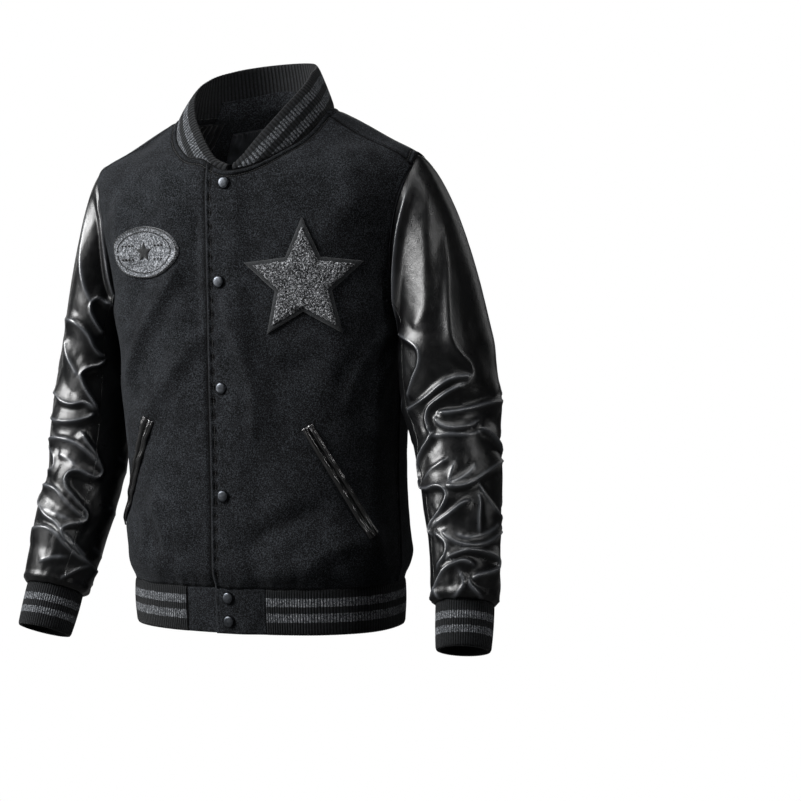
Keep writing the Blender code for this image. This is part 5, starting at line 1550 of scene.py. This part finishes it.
def sleeve(side_name, arm, folds, hidden):
    """A whole sleeve, then cut into its outer and under pieces."""
    net, normals, seam, heights, turns = sleeve_net(arm)
    lift, wear_and_highlight = sleeve_folds(folds, hidden, net, normals, heights)
    level = net[..., 2]
    turn = np.broadcast_to(turns, level.shape)
    arc = np.radians(turn) * SLEEVE_RADIUS
    wrap = np.cos(np.radians(turn)) * SLEEVE_RADIUS
    other = np.sin(np.radians(turn)) * SLEEVE_RADIUS

    # The limp lower arm wanders more than the full cap
    lower = smooth((-0.25 - level) / 0.12)
    lift = lift - 0.9 * MM * lower
    broad = uneven(wrap + level, other - level * 0.7, 0.045, 21)
    fine = uneven(wrap * 1.7, level + other, 0.014, 31)
    lift = lift + (0.25 + 0.65 * lower) * MM * broad + (0.08 + 0.16 * lower) * MM * fine

    # Gathers into the cuff, then the roll over its seam
    above_end = level - arm.last
    gathers = uneven(wrap * 2.0, other * 2.0, 0.030, 41)
    lift = lift + 1.5 * MM * bell(above_end, 0.013) * gathers
    lift = lift + 0.9 * MM * bell(above_end - 3.0 * MM, 1.7 * MM)

    # The armhole's seam, with small gathers below it
    run = np.linalg.norm(net - seam[None], axis=2)
    ripple = np.sin(arc / 0.0062 + 1.5 * uneven(arc, level, 0.05, 9))
    lift = lift * smooth(run / 0.02) - 1.2 * MM * bell(run, 0.004)
    lift = lift + 0.5 * MM * bell(run, 0.016) * smooth(run / 0.006) * ripple

    # The back seam's groove, ridge and row of stitches; the front one lies among the folds
    off = np.abs((turn - UNDER_TO + 180) % 360 - 180) * math.pi / 180 * SLEEVE_RADIUS
    for rise, away, width in ((-0.7, 0.0, 1.2), (0.21, 3.4, 2.0), (-0.35, 6.0, 0.9)):
        lift = lift + rise * MM * bell(off - away * MM, width * MM)
    lift[-2:] *= 0.35
    outer = net + normals * lift[..., None]
    start, end = (edge * SLEEVE_COLUMNS // 360 for edge in (UNDER_FROM, UNDER_TO))
    parts = (
        ("under", np.arange(start, end + 1), (0.15, 0.43), 0.048),
        ("outer", np.arange(end, start + SLEEVE_COLUMNS + 1) % SLEEVE_COLUMNS, (0.34, 0.60), 0.122),
    )
    for part, picked, flat, area in parts:
        name = f"sleeve_{side_name}_{part}"
        # The map's first coordinate carries the crests' wear and painted highlight to the hide
        uv = np.stack([wear_and_highlight[:, picked], np.zeros((len(net), len(picked)))], axis=-1)
        piece = shell(f"{name}_cloth", outer[:, picked], normals[:, picked], LEATHER, uv=uv)
        dress(piece, "leather", name)


def cuff(name, arm, growth, ribs):
    down, outward, forward = arm.axes(arm.last)
    columns = ribs * RIB_COLUMNS
    turn = np.linspace(0, 2 * math.pi, columns, endpoint=False)[:, None]
    around = np.cos(turn) * outward + np.sin(turn) * forward
    shares = np.linspace(0, 1, 25)
    rows = []
    start = arm.centre(arm.last) - down * 0.006
    for v in shares:
        radius = CUFF_TOP_RADIUS + (CUFF_END_RADIUS - CUFF_TOP_RADIUS) * v + growth
        radius += 0.8 * MM * math.sin(math.pi * v) - 1.0 * MM * float(smooth((v - 0.95) / 0.05))
        radius -= 1.2 * MM * float(smooth((0.10 - v) / 0.10))
        ripple = 0.5 * MM * np.sin(3 * turn + 2.0 * v + 1.1)
        rows.append(start + down * (CUFF_LENGTH + 0.006) * v + around * (radius + ripple * (1 - v)))
    net = np.array(rows)
    normals = np.broadcast_to(around, net.shape)
    return banded(name, net, normals, ribs, 0.85 * MM, "cuff knit", tube=True)


def hem_tab(name, low, high, lapped):
    rows = np.linspace(HEM_BOTTOM, HEM_TOP - 0.3 * MM, 41)
    angles = np.array([np.linspace(edge_angle(low, h), edge_angle(high, h), 57) for h in rows])
    points = body_point(angles, rows[:, None])
    normals = body_normal(angles, rows[:, None])
    normals[..., 2] = 0
    normals = unit(normals)
    x, z = points[..., 0], points[..., 2]
    to_edge = np.minimum.reduce([z - HEM_BOTTOM, HEM_TOP - z, np.abs(x - low), np.abs(x - high)])
    relief = 0.25 * MM * uneven(x, z, 0.02, 13) - 1.2 * MM * bell(to_edge, 1.6 * MM)
    relief = relief - 0.6 * MM * bell(to_edge - 5.5 * MM, 1.1 * MM)
    if lapped:
        relief = relief + lap_rise(x)
    piece = shell(f"{name}_cloth", points + normals * relief[..., None], normals, WOOL)
    return dress(piece, "wool", name)


# Trims


def chest_map(side):
    """A quick map from distance round and height to points and normals, through a fine table."""
    across = np.linspace(0.0, 0.21, 85)
    height = np.linspace(-0.56, -0.12, 111)
    angles = np.linspace(0, 110, 111)
    turned = [np.interp(across, arc_along(body_point(angles, h)), angles) for h in height]
    turned = np.array(turned) * side
    levels = np.broadcast_to(height[:, None], turned.shape)
    points = body_point(turned, levels)
    normals = body_normal(turned, levels)
    lift = body_lift(turned, levels)
    if side > 0:
        lift = lift + lap_rise(points[..., 0])
    both = np.concatenate([points + normals * lift[..., None], normals], axis=-1)

    def at(x, y):
        i = np.clip((np.asarray(y) - height[0]) / (height[1] - height[0]), 0, len(height) - 1.001)
        j = np.clip((np.asarray(x) - across[0]) / (across[1] - across[0]), 0, len(across) - 1.001)
        a, b = np.floor(i).astype(int), np.floor(j).astype(int)
        u, v = (i - a)[..., None], (j - b)[..., None]
        value = (
            both[a, b] * (1 - u) * (1 - v)
            + both[a + 1, b] * u * (1 - v)
            + both[a, b + 1] * (1 - u) * v
            + both[a + 1, b + 1] * u * v
        )
        return value[..., :3], unit(value[..., 3:])

    return at


CHEST = {1: chest_map(1), -1: chest_map(-1)}


def star_corners(radius, border=0.0):
    reach = radius + border / math.sin(math.radians(27))
    notch = radius * STAR_NOTCH + border * 1.05
    corners = []
    for k in range(10):
        turn = math.radians(90 + 36 * k)
        size = reach if k % 2 == 0 else notch
        corners.append((size * math.cos(turn), size * math.sin(turn)))
    return np.array(corners)


def outline_of(corners, per_side):
    share = np.arange(per_side)[:, None] / per_side
    sides = zip(corners, np.roll(corners, -1, axis=0))
    return np.concatenate([a * (1 - share) + b * share for a, b in sides])


def inside_by(corners, x, y):
    """How far points lie inside a closed outline; negative outside."""
    best = np.full(np.shape(x), np.inf)
    inside = np.zeros(np.shape(x), bool)
    for a, b in zip(corners, np.roll(corners, -1, axis=0)):
        way = b - a
        t = np.clip(((x - a[0]) * way[0] + (y - a[1]) * way[1]) / (way @ way), 0, 1)
        best = np.minimum(best, np.hypot(x - a[0] - t * way[0], y - a[1] - t * way[1]))
        crosses = (a[1] > y) != (b[1] > y)
        with np.errstate(divide="ignore", invalid="ignore"):
            at = (b[0] - a[0]) * (y - a[1]) / (b[1] - a[1]) + a[0]
        inside ^= crosses & (x < at)
    return np.where(inside, best, -best)


def laid(name, centre, outline, rises, base, side, finish):
    """A raised patch: rings of its outline drawn in towards its middle, its edge dipped 1.5 mm
    below its base.
    """
    points, normals = CHEST[side](*(centre + outline).T)
    rings = [points + normals * (base - 1.5 * MM), points + normals * base]
    for scale, rise in rises:
        points, normals = CHEST[side](*(centre + outline * scale).T)
        rings.append(points + normals * (base + rise * MM))
    count = len(outline)
    middle, up = CHEST[side](*centre[:, None])
    net = np.concatenate([*rings, middle + up * (base + rises[-1][1] * MM)])
    faces = quads(len(rings), count, 0, closed=True).tolist()
    first = (len(rings) - 1) * count
    faces += [(first + k, first + (k + 1) % count, len(net) - 1) for k in range(count)]
    if side < 0:
        faces = [tuple(f)[::-1] for f in faces]
    return dress(build_mesh(f"{name}_patch", net, faces), finish, name)


def repeated(pattern, size, count):
    """The faces of a small shape, given by its vertices' numbers, for as many copies as count."""
    first = size * np.arange(count)[:, None, None]
    return (np.array(pattern)[None] + first).reshape(-1, len(pattern[0])).tolist()


LOOP_SIDES = 5


def tufts(name, centre, corners, pitch, size, base, side, finish, seed):
    """A field of small domes that fill an outline: looped pile."""
    rng = np.random.default_rng(seed)
    reach = np.abs(corners).max() + pitch
    count = int(2 * reach / pitch)
    i, j = np.meshgrid(np.arange(count), np.arange(int(count / 0.866) + 1))
    x = ((i + 0.5 * (j % 2)) * pitch - reach).ravel()
    y = (j * pitch * 0.866 - reach).ravel()
    x = x + rng.normal(0, pitch * 0.16, x.size)
    y = y + rng.normal(0, pitch * 0.16, y.size)
    inside = inside_by(corners, x, y)
    keep = inside > size * 0.35
    x, y, inside = x[keep], y[keep], inside[keep]
    points, normals = CHEST[side](centre[0] + x, centre[1] + y)
    crown = 2.3 * MM * np.sqrt(np.clip(inside / 0.006, 0.08, 1))
    height = base + crown + rng.normal(0, 0.25 * MM, len(x))
    up = unit(normals + rng.normal(0, 0.28, (len(x), 3)))
    one_way = unit(np.cross(up, (0.31, 0.2, 0.93)))
    other_way = np.cross(up, one_way)
    scale = (size * rng.uniform(0.82, 1.25, len(x)))[:, None]
    middle = points + normals * height[:, None]
    rings = ((0.95, -0.45), (1.0, 0.15), (0.62, 0.72))
    bodies = []
    for radius, rise in rings:
        for t in np.arange(LOOP_SIDES) * 2 * math.pi / LOOP_SIDES:
            around = one_way * math.cos(t) + other_way * math.sin(t)
            bodies.append(middle + (around * radius + up * rise) * scale)
    bodies.append(middle + up * scale)
    each = len(bodies)
    walls = quads(len(rings), LOOP_SIDES, 0, closed=True)
    last = (len(rings) - 1) * LOOP_SIDES
    caps = [(last + k, last + (k + 1) % LOOP_SIDES, each - 1) for k in range(LOOP_SIDES)]
    faces = repeated(walls, each, len(x)) + repeated(caps, each, len(x))
    return dress(build_mesh(name, np.stack(bodies, axis=1).reshape(-1, 3), faces), finish)


STITCH_SIDES = 5
# A stitch's rings: the place along it, and the radius, as shares
STITCH_RINGS = ((-0.5, 0.35), (-0.36, 0.95), (0.0, 1.0), (0.36, 0.95), (0.5, 0.35))
STITCH_SINK = 0.35


def stitches(name, points, normals, finish, length=2.6, gap=0.6, width=0.42):
    """Short thread capsules, sized in millimetres, end to end along a line on the surface."""
    length, gap, width = length * MM, gap * MM, width * MM
    arc = arc_along(points)
    starts = np.arange(length, arc[-1] - length, length + gap)

    def at(place, values):
        return np.stack([np.interp(place, arc, values[:, k]) for k in range(3)], axis=-1)

    middle, up = at(starts, points), unit(at(starts, normals))
    along = unit(at(starts + length / 2, points) - at(starts - length / 2, points))
    across = np.cross(up, along)
    rings = []
    for place, radius in STITCH_RINGS:
        dip = up * (width * (STITCH_SINK + 0.9 * (abs(place) * 2) ** 2))
        for t in np.arange(STITCH_SIDES) * 2 * math.pi / STITCH_SIDES:
            around = across * math.cos(t) + up * math.sin(t)
            rings.append(middle + along * length * place + around * width * radius - dip)
    walls = quads(len(STITCH_RINGS), STITCH_SIDES, 0, closed=True)[:, [0, 3, 2, 1]]
    faces = repeated(walls, len(rings), len(starts))
    return dress(build_mesh(name, np.stack(rings, axis=1).reshape(-1, 3), faces), finish)


THREAD_SINK = 0.5 * MM


def topstitch(name, line, lapped=False):
    """A row of stitches along angles and heights, sunk into the dressed wool."""
    angle, height = line
    points = body_point(angle, height)
    normals = body_normal(angle, height)
    lift = body_lift(angle, height)
    if lapped:
        lift = lift + lap_rise(points[:, 0])
    return stitches(name, points + normals * (lift - THREAD_SINK)[:, None], normals, "thread")


SNAP_SIDES = 48
# The snap's parts: each a finish and its section, as radius and height in millimetres
SNAP_PARTS = {
    "cap": ("bright metal", ((0.0, 3.3), (2.8, 3.26), (4.9, 3.1), (6.0, 2.84), (6.4, 2.5))),
    # The rim is darker as painted shade round the cap
    "rim": ("dark metal", (
        (6.3, 2.3), (6.45, 2.5), (6.75, 2.45), (7.1, 2.1), (7.45, 1.5), (7.7, 0.9), (7.75, 0.3),
        (7.4, -0.3), (6.6, -0.8),
    )),
}


def snap(count, across, height):
    """A domed cap inside a rolled rim."""
    angle = edge_angle(across, height)
    normal = body_normal(angle, height)
    point = body_point(angle, height) + normal * (LAP_RISE + 0.4 * MM)
    turn = np.array(Vector(normal).to_track_quat("Z", "Y").to_matrix())
    spin = np.arange(SNAP_SIDES) * 2 * math.pi / SNAP_SIDES
    circle = np.stack([np.cos(spin), np.sin(spin), np.zeros(SNAP_SIDES)], axis=1)
    for part, (finish, section) in SNAP_PARTS.items():
        rings = [circle * r * MM + (0, 0, z * MM) for r, z in section]
        faces = quads(len(section), SNAP_SIDES, 0, closed=True)[:, ::-1].tolist()
        piece = build_mesh(f"snap_{count}_{part}", np.concatenate(rings) @ turn.T + point, faces)
        dress(piece, finish, f"snap_{count}" if part == "rim" else None)


# A pocket lip: its height, the groove between the two lips, and where its stitches run, as a share
# of the half width
LIP_HEIGHT = 4.2 * MM
LIP_GROOVE = 3.2 * MM
LIP_STITCH = 0.72


def welt(name, side, lift):
    """Two leather lips with a groove between them, their ends tacked down."""
    top, bottom = np.array(WELT_TOP) + (0, lift), np.array(WELT_BOTTOM) + (0, lift)
    along = (bottom - top) / np.linalg.norm(bottom - top)
    half = WELT_WIDTH / 2 * np.array([-along[1], along[0]])
    u, across = np.linspace(0, 1, 121)[:, None], np.linspace(-1, 1, 41)[None, :]
    middle = top * (1 - u) + bottom * u
    place = middle[:, None] + half * across[..., None]
    points, normals = CHEST[side](place[..., 0], place[..., 1])
    opening = smooth(np.minimum(u, 1 - u) / 0.07)
    lip = LIP_HEIGHT * np.sqrt(np.clip(1 - ((np.abs(across) - 0.5) / 0.52) ** 2, 0, 1))
    rise = lip * (0.45 + 0.55 * opening) - LIP_GROOVE * bell(across, 0.14) * opening
    rise = rise + 0.8 * MM * uneven(u * 0.155, across * 0.008, 0.014, 17 + side)
    rise = rise - 0.5 * MM * bell(np.abs(across) - LIP_STITCH, 0.07)
    outer = points + normals * (0.6 * MM + np.maximum(rise, 0.1 * MM))[..., None]
    dress(shell(f"{name}_lips", outer, normals, 0.9 * MM), "welt leather", name)
    for k, offset in enumerate((-LIP_STITCH, LIP_STITCH)):
        line, up = CHEST[side](*(middle + half * offset).T)
        stitches(f"{name}_stitches_{k}", line + up * 2.4 * MM, up, "leather thread", 2.2, 0.9, 0.30)


# What shows inside the neck


UNDER_ROWS, UNDER_COLUMNS = 47, 131
FACING_ROWS, FACING_COLUMNS = 61, 161
CLIMB_ROWS = 15


def up_the_collar(angle, up):
    """Rows that climb a share of the collar's height on its inner face, and their directions."""
    seam, edge, lean = collar_sides(angle)
    outward = unit(np.cross(np.gradient(seam + edge, axis=0), edge - seam))
    share = np.linspace(up, 0, CLIMB_ROWS + 1)[:-1, None, None]
    raised = seam * (1 - share) + edge * share + outward * 4 * COLLAR_BULGE * share * (1 - share)
    mix = smooth(share / 0.25)
    turned = unit(lean * (1 - mix) + outward * mix)
    return raised - turned * (KNIT - WOOL) * mix, turned


def under_layer(name, finish, angles, depths, under, wall, relief, flat, held="gathered", up=0.0):
    """Cloth under the yoke, between two body angles and two shares of the yoke's depth.

    It lies a distance under the wool's outer face, and its relief stands out towards the inside.
    It may climb a share of the collar's height.
    """
    rows, columns = (FACING_ROWS, FACING_COLUMNS) if up else (UNDER_ROWS, UNDER_COLUMNS)
    angle = np.linspace(*angles, columns)
    share = np.linspace(*depths, rows)[:, None]
    height = neck_height(angle) * (1 - share) + np.interp(angle, *yoke_line()) * share
    points, normals = body_point(angle, height), body_normal(angle, height)
    if up:
        raised, turned = up_the_collar(angle, up)
        points, normals = np.concatenate([raised, points]), np.concatenate([turned, normals])
    lift = relief(np.linspace(0, 1, columns)[None, :], np.linspace(0, 1, len(points))[:, None])
    inside = points - normals * (under + wall + lift)[..., None]
    piece = shell(f"{name}_cloth", inside, -normals, wall, inner=points - normals * under)
    return dress(piece, finish, name)


LABEL_PLEATS = 24
LINING_PLEATS = 9


def inside_the_neck():
    def plain(u, v):
        return 0.25 * MM * uneven(u * 0.18, v * 0.08, 0.03, 61)

    def ruched(u, v):
        wander = 0.35 * uneven(u * 0.1, v * 0.06, 0.03, 71)
        phase = u * math.pi * LINING_PLEATS + wander * 3 + 0.8 * np.sin(v * 5)
        crumple = 0.5 * MM * uneven(u * 0.1, v * 0.07, 0.012, 73)
        return 2.2 * MM * np.abs(np.sin(phase)) ** 0.7 + crumple

    def gathered(u, v):
        phase = u * math.pi * LABEL_PLEATS + 0.7 * uneven(u * 0.15, v * 0.05, 0.04, 81)
        return 3.0 * MM * np.abs(np.sin(phase)) ** 0.8 * (bell(v, 0.35) + 0.35)

    under = WOOL + 1.2 * MM
    facing = ((118, 242), (0.02, 0.80), under, 1.6 * MM, plain, (0.26, 0.12), "stretched", 0.34)
    under_layer("back_facing", "wool", *facing)
    label = ((136, 224), (0.20, 0.62), under + 3.2 * MM, 0.5 * MM, gathered, (0.20, 0.05))
    under_layer("label", "satin", *label)
    for side_name, angles in (("left", (92, 127)), ("right", (233, 268))):
        lining = (angles, (0.06, 0.72), under, 0.6 * MM, ruched, (0.15, 0.09))
        under_layer(f"lining_{side_name}", "lining", *lining)


# The jacket

front("front_left", 1, (0.31, 0.60), 0.146)
front("front_right", -1, (0.31, 0.60), 0.149)
back("back", (0.57, 0.49), 0.252)
back_yoke("back_yoke")
LEFT_SLEEVE, RIGHT_SLEEVE = Arm(LEFT_ARM, 1), Arm(RIGHT_ARM, -1)
sleeve("left", LEFT_SLEEVE, LEFT_FOLDS, LEFT_HIDDEN)
sleeve("right", RIGHT_SLEEVE, RIGHT_FOLDS, RIGHT_HIDDEN)
collar("collar", 122)
hem_band("hem_rib", 240)
cuff("cuff_left", LEFT_SLEEVE, 0.0, 72)
cuff("cuff_right", RIGHT_SLEEVE, RIGHT_CUFF_GROWTH, 72)
hem_tab("hem_tab_left", -LAP_REACH, LEFT_TAB_REACH, True)
hem_tab("hem_tab_right", -RIGHT_TAB_REACH, LAP_REACH, False)

# The star and the badge: each patch's rings, as its outline's share and its height in millimetres

STAR = np.array(STAR_CENTRE)
BADGE = np.array(BADGE_CENTRE)
STAR_FELT_RINGS = ((1.0, 1.2), (0.985, 1.7), (0.9, 1.9), (0.6, 1.9), (0.3, 1.9))
STAR_PILE_RINGS = ((1.0, 1.4), (0.95, 2.4), (0.85, 3.0), (0.5, 3.0), (0.25, 3.0))
BADGE_RINGS = (
    (1.0, 0.9), (0.995, 1.9), (0.965, 2.4), (0.93, 2.3), (0.91, 1.6), (0.7, 1.6), (0.35, 1.6),
)
SMALL_STAR_RINGS = ((1.0, 0.9), (0.9, 1.5), (0.4, 1.7))
LOOP_PITCH = 1.9 * MM
LOOP_SIZE = 1.15 * MM
BAR_POINTS = 30

felt_edge = outline_of(star_corners(STAR_RADIUS, STAR_BORDER), 12)
pile_edge = outline_of(star_corners(STAR_RADIUS - 1.0 * MM), 12)
spin = np.linspace(0, 2 * math.pi, 96, endpoint=False)
oval = np.stack([BADGE_HALF[0] * np.cos(spin), BADGE_HALF[1] * np.sin(spin)], axis=1)
small_edge = outline_of(star_corners(0.013), 6)
laid("star_felt", STAR, felt_edge, STAR_FELT_RINGS, STAR_LIFT, 1, "star felt")
laid("star_pile", STAR, pile_edge, STAR_PILE_RINGS, STAR_LIFT + 0.8 * MM, 1, "chenille")
loops = (STAR, star_corners(STAR_RADIUS), LOOP_PITCH, LOOP_SIZE, 3.0 * MM, 1, "chenille", 3)
tufts("star_loops", *loops)
laid("badge_felt", BADGE, oval, BADGE_RINGS, 0.8 * MM, -1, "badge felt")
laid("badge_star", BADGE, small_edge, SMALL_STAR_RINGS, 1.9 * MM, -1, "badge star")
for k, (scale, rise) in enumerate(((0.965, 3.6), (0.80, 3.0))):
    ring, up = CHEST[-1](*(np.concatenate([oval, oval[:1]]) * scale + BADGE).T)
    stitches(f"badge_ring_{k}", ring + up * rise * MM, up, "badge thread", 3.0, 0.2, 0.9)
for k, offset in enumerate((-0.0085, 0.0085)):
    for side, where in ((-1, "in"), (1, "out")):
        reach = BADGE[0] + np.linspace(0.014, 0.038, BAR_POINTS) * side
        bar, up = CHEST[-1](reach, np.full(BAR_POINTS, BADGE[1] + offset))
        bar = bar + up * 3.2 * MM
        stitches(f"badge_bar_{k}_{where}", bar, up, "badge thread", 4.0, 1.6, 1.5)

for count, place in enumerate(SNAPS, 1):
    snap(count, *place)
welt("welt_left", 1, 0.0)
welt("welt_right", -1, RIGHT_WELT_LIFT)
inside_the_neck()

# Topstitching

for side_name, side in (("left", 1), ("right", -1)):
    edge = edge_angle(-LAP_REACH * side, NECK_FRONT)
    lapped = side > 0
    line = beside(*neck_line(edge + 3 * side, SHOULDER_NECK_ANGLE * side), -TOPSTITCH * side)
    topstitch(f"neck_stitches_{side_name}", line, lapped)
    line = beside(*armhole_line(176, SHOULDER_TURN, side), -TOPSTITCH * side)
    topstitch(f"armhole_stitches_{side_name}", line, lapped)
    line = beside(*armhole_line(SHOULDER_TURN, YOKE_TURN - 360, side), TOPSTITCH * side)
    topstitch(f"yoke_armhole_stitches_{side_name}", line)
heights = np.linspace(HEM_TOP + 0.004, NECK_FRONT, 80)
edges = np.array([edge_angle(-LAP_REACH + TOPSTITCH, h) for h in heights])
topstitch("front_edge_stitches", (edges, heights), True)
topstitch("yoke_neck_stitches", beside(*neck_line(82, 278), -TOPSTITCH))
angles, heights = yoke_line()
topstitch("yoke_stitches", (angles, heights + YOKE_STITCH))

# Floor, light and camera

FLOOR = -0.745
WALL_START = 5.0
COVE = 2.2


def pale_stage():
    """A painted floor that rises into a wall: white to the camera itself, dim to the jacket."""
    material, add, finish, place = start_material("painted_plaster", Roughness=0.9)
    spots = add("TexNoise", {"Vector": place, "Scale": spaced(333.3)})["Fac"]
    stops = ((0.3, "404040"), (0.7, "484848"))
    finish({"Base Color": add("ValToRGB", {"Fac": spots}, stops)["Color"]})
    nodes = material.node_tree.nodes
    seen = add("LightPath")["Is Camera Ray"]
    white = add("Emission", {"Strength": 1.0})["Emission"]
    painted = nodes["Principled BSDF"].outputs["BSDF"]
    both = add("MixShader", {0: seen, 1: painted, 2: white})["Shader"]
    feed(material.node_tree, nodes["Material Output"], {"Surface": both})
    run = np.linspace(-7, 9, 60)
    bend = np.clip((run - WALL_START) / 4.0, 0, 1) * math.pi / 2
    y = np.append(np.minimum(run, WALL_START) + COVE * np.sin(bend), [WALL_START + COVE] * 2)
    z = np.append(FLOOR + COVE * (1 - np.cos(bend)), [5.0, 9.0])
    x, y = np.meshgrid(np.linspace(-9, 9, 31), y)
    z = np.broadcast_to(z[:, None], x.shape)
    turn = math.radians(CAMERA_AZIMUTH)
    across = x * math.cos(turn) - y * math.sin(turn)
    net = np.stack([across, x * math.sin(turn) + y * math.cos(turn), z], axis=-1)
    floor = build_mesh("floor", net.reshape(-1, 3), quads(*x.shape).tolist())
    floor.data.materials.append(material)


# The inside of the neck has its own small light, because the others leave it black
SOFTBOXES = (
    # name, azimuth, elevation, distance, width, height, power, aim
    ("key", -50, 28, 2.6, 1.3, 1.3, 135, (0, 0, -0.3)),
    ("fill", 82, 8, 2.8, 0.2, 1.8, 3, (0, 0, -0.3)),
    ("top", 18, 66, 2.2, 1.2, 0.6, 14, (0, 0, -0.3)),
    ("neck", 8, 12, 0.13, 0.09, 0.04, 0.055, (0.0, 0.095, -0.045)),
    ("low", -48, -5, 2.4, 0.9, 0.25, 6, (0, 0, -0.3)),
    ("left_rim", -118, 14, 2.8, 0.3, 1.8, 3, (0, 0, -0.3)),
    ("right_strip", 66, 24, 2.8, 0.12, 1.6, 12, (0, 0, -0.3)),
    ("right_rim", 158, 20, 2.8, 0.5, 1.8, 3, (0, 0, -0.3)),
    ("behind", 204, 22, 2.8, 1.2, 1.2, 36, (0, 0, -0.3)),
)


def softbox(name, azimuth, elevation, distance, width, height, power, aim):
    """An area light at an azimuth and elevation round its aim, facing it."""
    a, e = math.radians(azimuth), math.radians(elevation)
    back = Vector((math.sin(a) * math.cos(e), -math.cos(a) * math.cos(e), math.sin(e)))
    data = bpy.data.lights.new(name, "AREA")
    data.shape = "RECTANGLE"
    data.size, data.size_y = width, height
    data.energy = power
    light = bpy.data.objects.new(name, data)
    bpy.context.scene.collection.objects.link(light)
    light.location = Vector(aim) + back * distance
    light.rotation_mode = "QUATERNION"
    light.rotation_quaternion = back.to_track_quat("Z", "Y")
    if name == "neck":
        light.visible_camera = False


def light_the_room():
    """A room that is white to the camera itself, and dim to the jacket."""
    world = bpy.data.worlds.new("studio")
    bpy.context.scene.world = world
    world.use_nodes = True
    tree = world.node_tree
    seen = add_node(tree, "LightPath")["Is Camera Ray"]
    level = add_node(tree, "MapRange", {"Value": seen, "To Min": 0.03, "To Max": 1.0})["Result"]
    feed(tree, tree.nodes["Background"], {"Color": (1, 1, 1, 1), "Strength": level})


SENSOR = 36.0
# The lens is a hair longer than the axis says, which fits the jacket's outline
LONGER = 8


def set_camera():
    azimuth, roll = math.radians(CAMERA_AZIMUTH), math.radians(CAMERA_ROLL)
    back = Vector((math.sin(azimuth), -math.cos(azimuth), 0))
    right = Vector((math.cos(azimuth), math.sin(azimuth), 0))
    up = Vector((0, 0, 1))
    rolled_right = right * math.cos(roll) - up * math.sin(roll)
    rolled_up = right * math.sin(roll) + up * math.cos(roll)
    aside, above = (FRAME_PIXELS / 2 - pixel for pixel in AXIS_PIXEL)
    look = -back * FOCAL_PIXELS + rolled_right * aside - rolled_up * above
    look.normalize()
    x_axis = (rolled_right - look * rolled_right.dot(look)).normalized()
    turn = Matrix((x_axis, x_axis.cross(look), -look)).transposed().to_4x4()
    place = back * CAMERA_DISTANCE + up * CAMERA_HEIGHT
    data = bpy.data.cameras.new("camera")
    data.sensor_width = SENSOR
    data.lens = (FOCAL_PIXELS + LONGER) / FRAME_PIXELS * SENSOR
    data.clip_start, data.clip_end = 0.05, 60.0
    camera = bpy.data.objects.new("camera", data)
    camera.matrix_world = Matrix.Translation(place) @ turn
    bpy.context.scene.collection.objects.link(camera)
    bpy.context.scene.camera = camera
    bpy.context.scene.view_settings.view_transform = "Standard"


pale_stage()
for row in SOFTBOXES:
    softbox(*row)
light_the_room()
set_camera()
